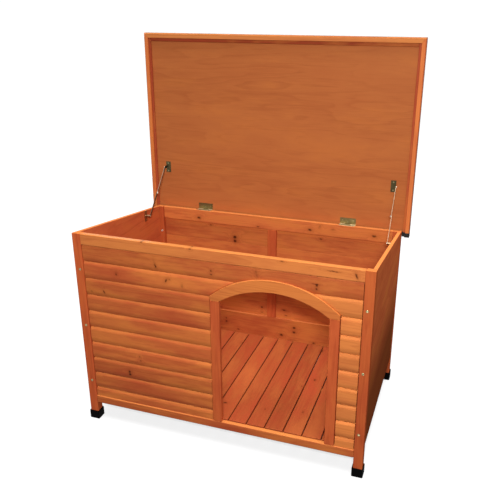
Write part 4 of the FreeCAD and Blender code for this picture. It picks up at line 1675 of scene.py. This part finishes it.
@dataclass
class Hardware:
    """Finishes of the pieces that keep their solids, and the elbow rivets' heads.

    Attributes:
        finishes: finish of each CAD node.
        head_radius: radius of an elbow rivet's head.
        head_rise: its height.
    """

    finishes: dict = field(
        default_factory=lambda: {
            # hinges: painted highlight on the wall leaves and pins, a darker copy on the lid leaves
            "hinge_wall_leaves": HINGE_ZINC_PAINTED_HIGHLIGHT,
            "hinge_lid_leaves": HINGE_ZINC_DARK,
            "hinge_pins": HINGE_ZINC_PAINTED_HIGHLIGHT,
            "hinge_wall_screws": SCREW_ZINC,
            "hinge_lid_screws": SCREW_ZINC,
            "stay_wall_brackets": PLATE_ZINC,
            "stay_wall_rivets": ZINC,
            "stay_wall_screws": SCREW_ZINC,
            "stay_lid_bracket_left": BRACKET_ZINC,
            "stay_lid_bracket_right": BRACKET_ZINC,
            "stay_lid_rivets": ZINC,
            "stay_lid_screws": SCREW_ZINC,
            # stay arms: lighter copies of the arms' plating paint a highlight on the upper-left and
            # right arms
            "stay_lower_arm_left": ARM_ZINC,
            "stay_lower_arm_right": ARM_ZINC_PAINTED_SOFT_HIGHLIGHT,
            "stay_upper_arm_left": ARM_ZINC_PAINTED_HIGHLIGHT,
            "stay_upper_arm_right": ARM_ZINC_PAINTED_SOFT_HIGHLIGHT,
            "roof_felt": ROOF_FELT,
        }
    )
    head_radius: float = 5.6
    head_rise: float = 3.6

    def build(self) -> None:
        """Dress the solids and make the heads."""
        for node, finish in self.finishes.items():
            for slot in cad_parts[node].material_slots:
                slot.material = finish.material()
        for side, _ in SIDES:
            self.elbow(side)

    def elbow(self, side: str) -> None:
        """Make the domed head of the rivet that joins two arms, on their inner side.

        Args:
            side: left or right.
        """
        node = "stay_elbow_rivet_" + side
        low, high = (np.array(corner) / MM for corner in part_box(node))
        inward, face = (1.0, low[0]) if side == "left" else (-1.0, high[0])
        turn = np.linspace(math.pi / 2, 0.1, 7)
        rise = np.cos(turn) * self.head_rise * inward
        dome = loft(rings(np.sin(turn) * self.head_radius, rise, 28))
        origin = (face, (low[1] + high[1]) / 2, (low[2] + high[2]) / 2)
        head = moved(dome, origin, FACING["right"])
        write_piece(node + "_dome", [head], POLISHED, "stay_upper_" + side, (node,))


@dataclass
class Studio:
    """Camera at the photograph's place, pale floor and soft light; lengths in metres.

    Attributes:
        place: the camera's place.
        yaw: its turn from straight ahead, in degrees to the right.
        pitch: its tilt upward.
        roll: its lean.
        lens: focal length on a sensor 36 mm wide.
        world_light: strength of the white surroundings.
        high_light: strength of the light from above.
        high_from: direction that it comes from.
        panel_light: power of the strip before the right corner.
        panel_size: its width and height.
        panel_place: its place.
        panel_target: what it faces.
        soft_lights: name, power, size, place and target of each weak square lamp.
        ground_radius: radius of the floor.
        ground_glow: light of its own that the floor shows, so that it is white.
        ground_dark: its colour for light that bounces off it.
        ground_pale: what the view of it adds to that colour.
        house_centre: middle of the ground that the house shades.
        house_reach: its half sizes.
    """

    place: tuple = (0.7111, -1.9978, 1.4412)
    yaw: float = -19.394
    pitch: float = -21.740
    roll: float = -0.265
    lens: float = 46.86
    world_light: float = 0.28
    high_light: float = 2.7
    high_from: tuple = (0.05, -0.14, 1.0)
    panel_light: float = 46.0
    panel_size: tuple = (0.45, 0.12)
    panel_place: tuple = (0.735, -2.142, 1.712)
    panel_target: tuple = (0.0, -0.1, 0.6)
    soft_lights: tuple = (
        ("rear", 30.0, 2.0, (-1.3, 3.3, 1.6), (0.0, 0.2, 0.6)),
        ("side", 3.2, 0.25, (0.95, 0.55, 1.35), (0.5, 0.0, 0.6)),
    )
    ground_radius: float = 150.0
    ground_glow: float = 0.72
    ground_dark: float = 0.06
    ground_pale: float = 0.24
    house_centre: tuple = (0.0, 0.09, 0.0)
    house_reach: tuple = (0.47, 0.33, 1.0)

    def build(self) -> None:
        """Set up the camera, the surroundings, the floor and the lamps."""
        self.camera()
        self.world()
        self.floor()
        self.lamps()

    def camera(self) -> None:
        """Put the camera where the photograph was taken."""
        yaw, pitch, roll = (math.radians(a) for a in (self.yaw, self.pitch, self.roll))
        ahead = np.array(
            [math.sin(yaw) * math.cos(pitch), math.cos(yaw) * math.cos(pitch), math.sin(pitch)]
        )
        level = np.array([math.cos(yaw), -math.sin(yaw), 0.0])
        upright = np.cross(level, ahead)
        right = level * math.cos(roll) + upright * math.sin(roll)
        up = -level * math.sin(roll) + upright * math.cos(roll)
        data = bpy.data.cameras.new("camera")
        data.sensor_fit = "HORIZONTAL"
        data.sensor_width = 36.0
        data.lens = self.lens
        data.clip_end = 2 * self.ground_radius
        camera = bpy.data.objects.new("camera", data)
        matrix = np.eye(4)
        matrix[:3, 0], matrix[:3, 1], matrix[:3, 2], matrix[:3, 3] = right, up, -ahead, self.place
        camera.matrix_world = Matrix(matrix.tolist())
        bpy.context.scene.collection.objects.link(camera)
        bpy.context.scene.camera = camera

    @staticmethod
    def seen(nodes: Nodes) -> bpy.types.NodeSocket:
        """One for rays from the camera, from gloss and through glass, else nothing.

        Args:
            nodes: nodes of the floor or the world.

        Returns:
            The output.
        """
        rays = nodes.add("LightPath")
        total = rays.outputs["Is Camera Ray"]
        for name in ("Is Glossy Ray", "Is Transmission Ray"):
            total = nodes.math("MAXIMUM", total, rays.outputs[name])
        return total

    def world(self) -> None:
        """Make the surroundings white to look at and weaker as a light."""
        world = bpy.data.worlds.new("studio")
        bpy.context.scene.world = world
        world.use_nodes = True
        nodes = Nodes(world.node_tree)
        ground = nodes.tree.nodes["Background"]
        ground.inputs["Color"].default_value = (1, 1, 1, 1)
        light = self.world_light
        strength = nodes.math("MULTIPLY_ADD", self.seen(nodes), 1.0 - light, light)
        nodes.feed(ground.inputs["Strength"], strength)

    def floor(self) -> None:
        """Make a wide round floor that is white beyond the house and takes its shadow."""
        turn = np.linspace(0, 2 * math.pi, 96, endpoint=False)
        rim = np.stack([np.cos(turn), np.sin(turn)], axis=1) * self.ground_radius
        points = np.column_stack([rim, np.full(len(rim), -0.0002)])
        mesh = bpy.data.meshes.new("floor")
        mesh.from_pydata(points, [], [list(range(len(points)))])
        floor = bpy.data.objects.new("floor", mesh)
        bpy.context.scene.collection.objects.link(floor)
        graph = Graph("floor")
        seen = self.seen(graph)
        glow = graph.math("MULTIPLY", seen, self.ground_glow)
        glow = graph.math("MULTIPLY", glow, self.beyond_house(graph))
        tone = graph.math("MULTIPLY_ADD", seen, self.ground_pale, self.ground_dark)
        graph.set("Base Color", tone)
        graph.set("Roughness", 0.9)
        graph.set("Specular IOR Level", 0.0)
        graph.set("Emission Color", (1, 1, 1, 1))
        graph.set("Emission Strength", glow)
        mesh.materials.append(graph.material)

    def beyond_house(self, graph: Graph) -> bpy.types.NodeSocket:
        """Nothing on the ground deep under the house, one outside, with a soft edge.

        Args:
            graph: nodes of the floor.

        Returns:
            The output.
        """
        centred = graph.add("Mapping", vector_type="TEXTURE")
        centred.inputs["Location"].default_value = self.house_centre
        centred.inputs["Scale"].default_value = self.house_reach
        graph.feed(centred.inputs["Vector"], graph.place())
        reach = [
            graph.math("ABSOLUTE", graph.part(centred.outputs[0], axis))
            for axis in (Axis.X, Axis.Y)
        ]
        fade = graph.add("MapRange", interpolation_type="SMOOTHSTEP")
        graph.feed(fade.inputs["Value"], graph.math("MAXIMUM", *reach))
        fade.inputs["From Min"].default_value = 0.88
        fade.inputs["From Max"].default_value = 1.0
        return fade.outputs[0]

    def lamps(self) -> None:
        """A light high over the house, a strip before its right corner, weak soft ones."""
        high = bpy.data.lights.new("high", "SUN")
        high.energy = self.high_light
        high.angle = math.radians(32)
        self.aim(high, self.high_from, (0.0, 0.0, 0.0))
        panel = bpy.data.lights.new("panel", "AREA")
        panel.energy = self.panel_light
        panel.shape = "RECTANGLE"
        panel.size, panel.size_y = self.panel_size
        self.aim(panel, self.panel_place, self.panel_target)
        for name, energy, size, place, target in self.soft_lights:
            soft = bpy.data.lights.new(name, "AREA")
            soft.energy = energy
            soft.shape = "SQUARE"
            soft.size = size
            self.aim(soft, place, target)

    @staticmethod
    def aim(data: bpy.types.Light, place: tuple, target: tuple) -> None:
        """Put a lamp at a place, facing the target.

        Args:
            data: the lamp.
            place: where it goes.
            target: what it faces.
        """
        lamp = bpy.data.objects.new(data.name, data)
        back = np.array(place) - np.array(target)
        back = back / np.linalg.norm(back)
        side = np.cross((0, 1.0, 0.3), back)
        side = side / np.linalg.norm(side)
        matrix = np.eye(4)
        matrix[:3, 0], matrix[:3, 1], matrix[:3, 2] = side, np.cross(back, side), back
        matrix[:3, 3] = place
        lamp.matrix_world = Matrix(matrix.tolist())
        lamp.visible_camera = False
        bpy.context.scene.collection.objects.link(lamp)


def main() -> None:
    """Build every sub-assembly."""
    logging.basicConfig(level=logging.INFO, format="%(message)s")
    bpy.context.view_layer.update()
    bpy.context.scene.view_settings.view_transform = "Standard"
    front_wall = FrontWall()
    assemblies = (
        Studio(), Frame(), front_wall, SideWalls(), BackWall(front_wall), Floor(), Lid(),
        Screws(), Hardware(),
    )
    for assembly in assemblies:
        assembly.build()
        LOG.info("%s is done", type(assembly).__name__)


if __name__ == "__main__":
    main()
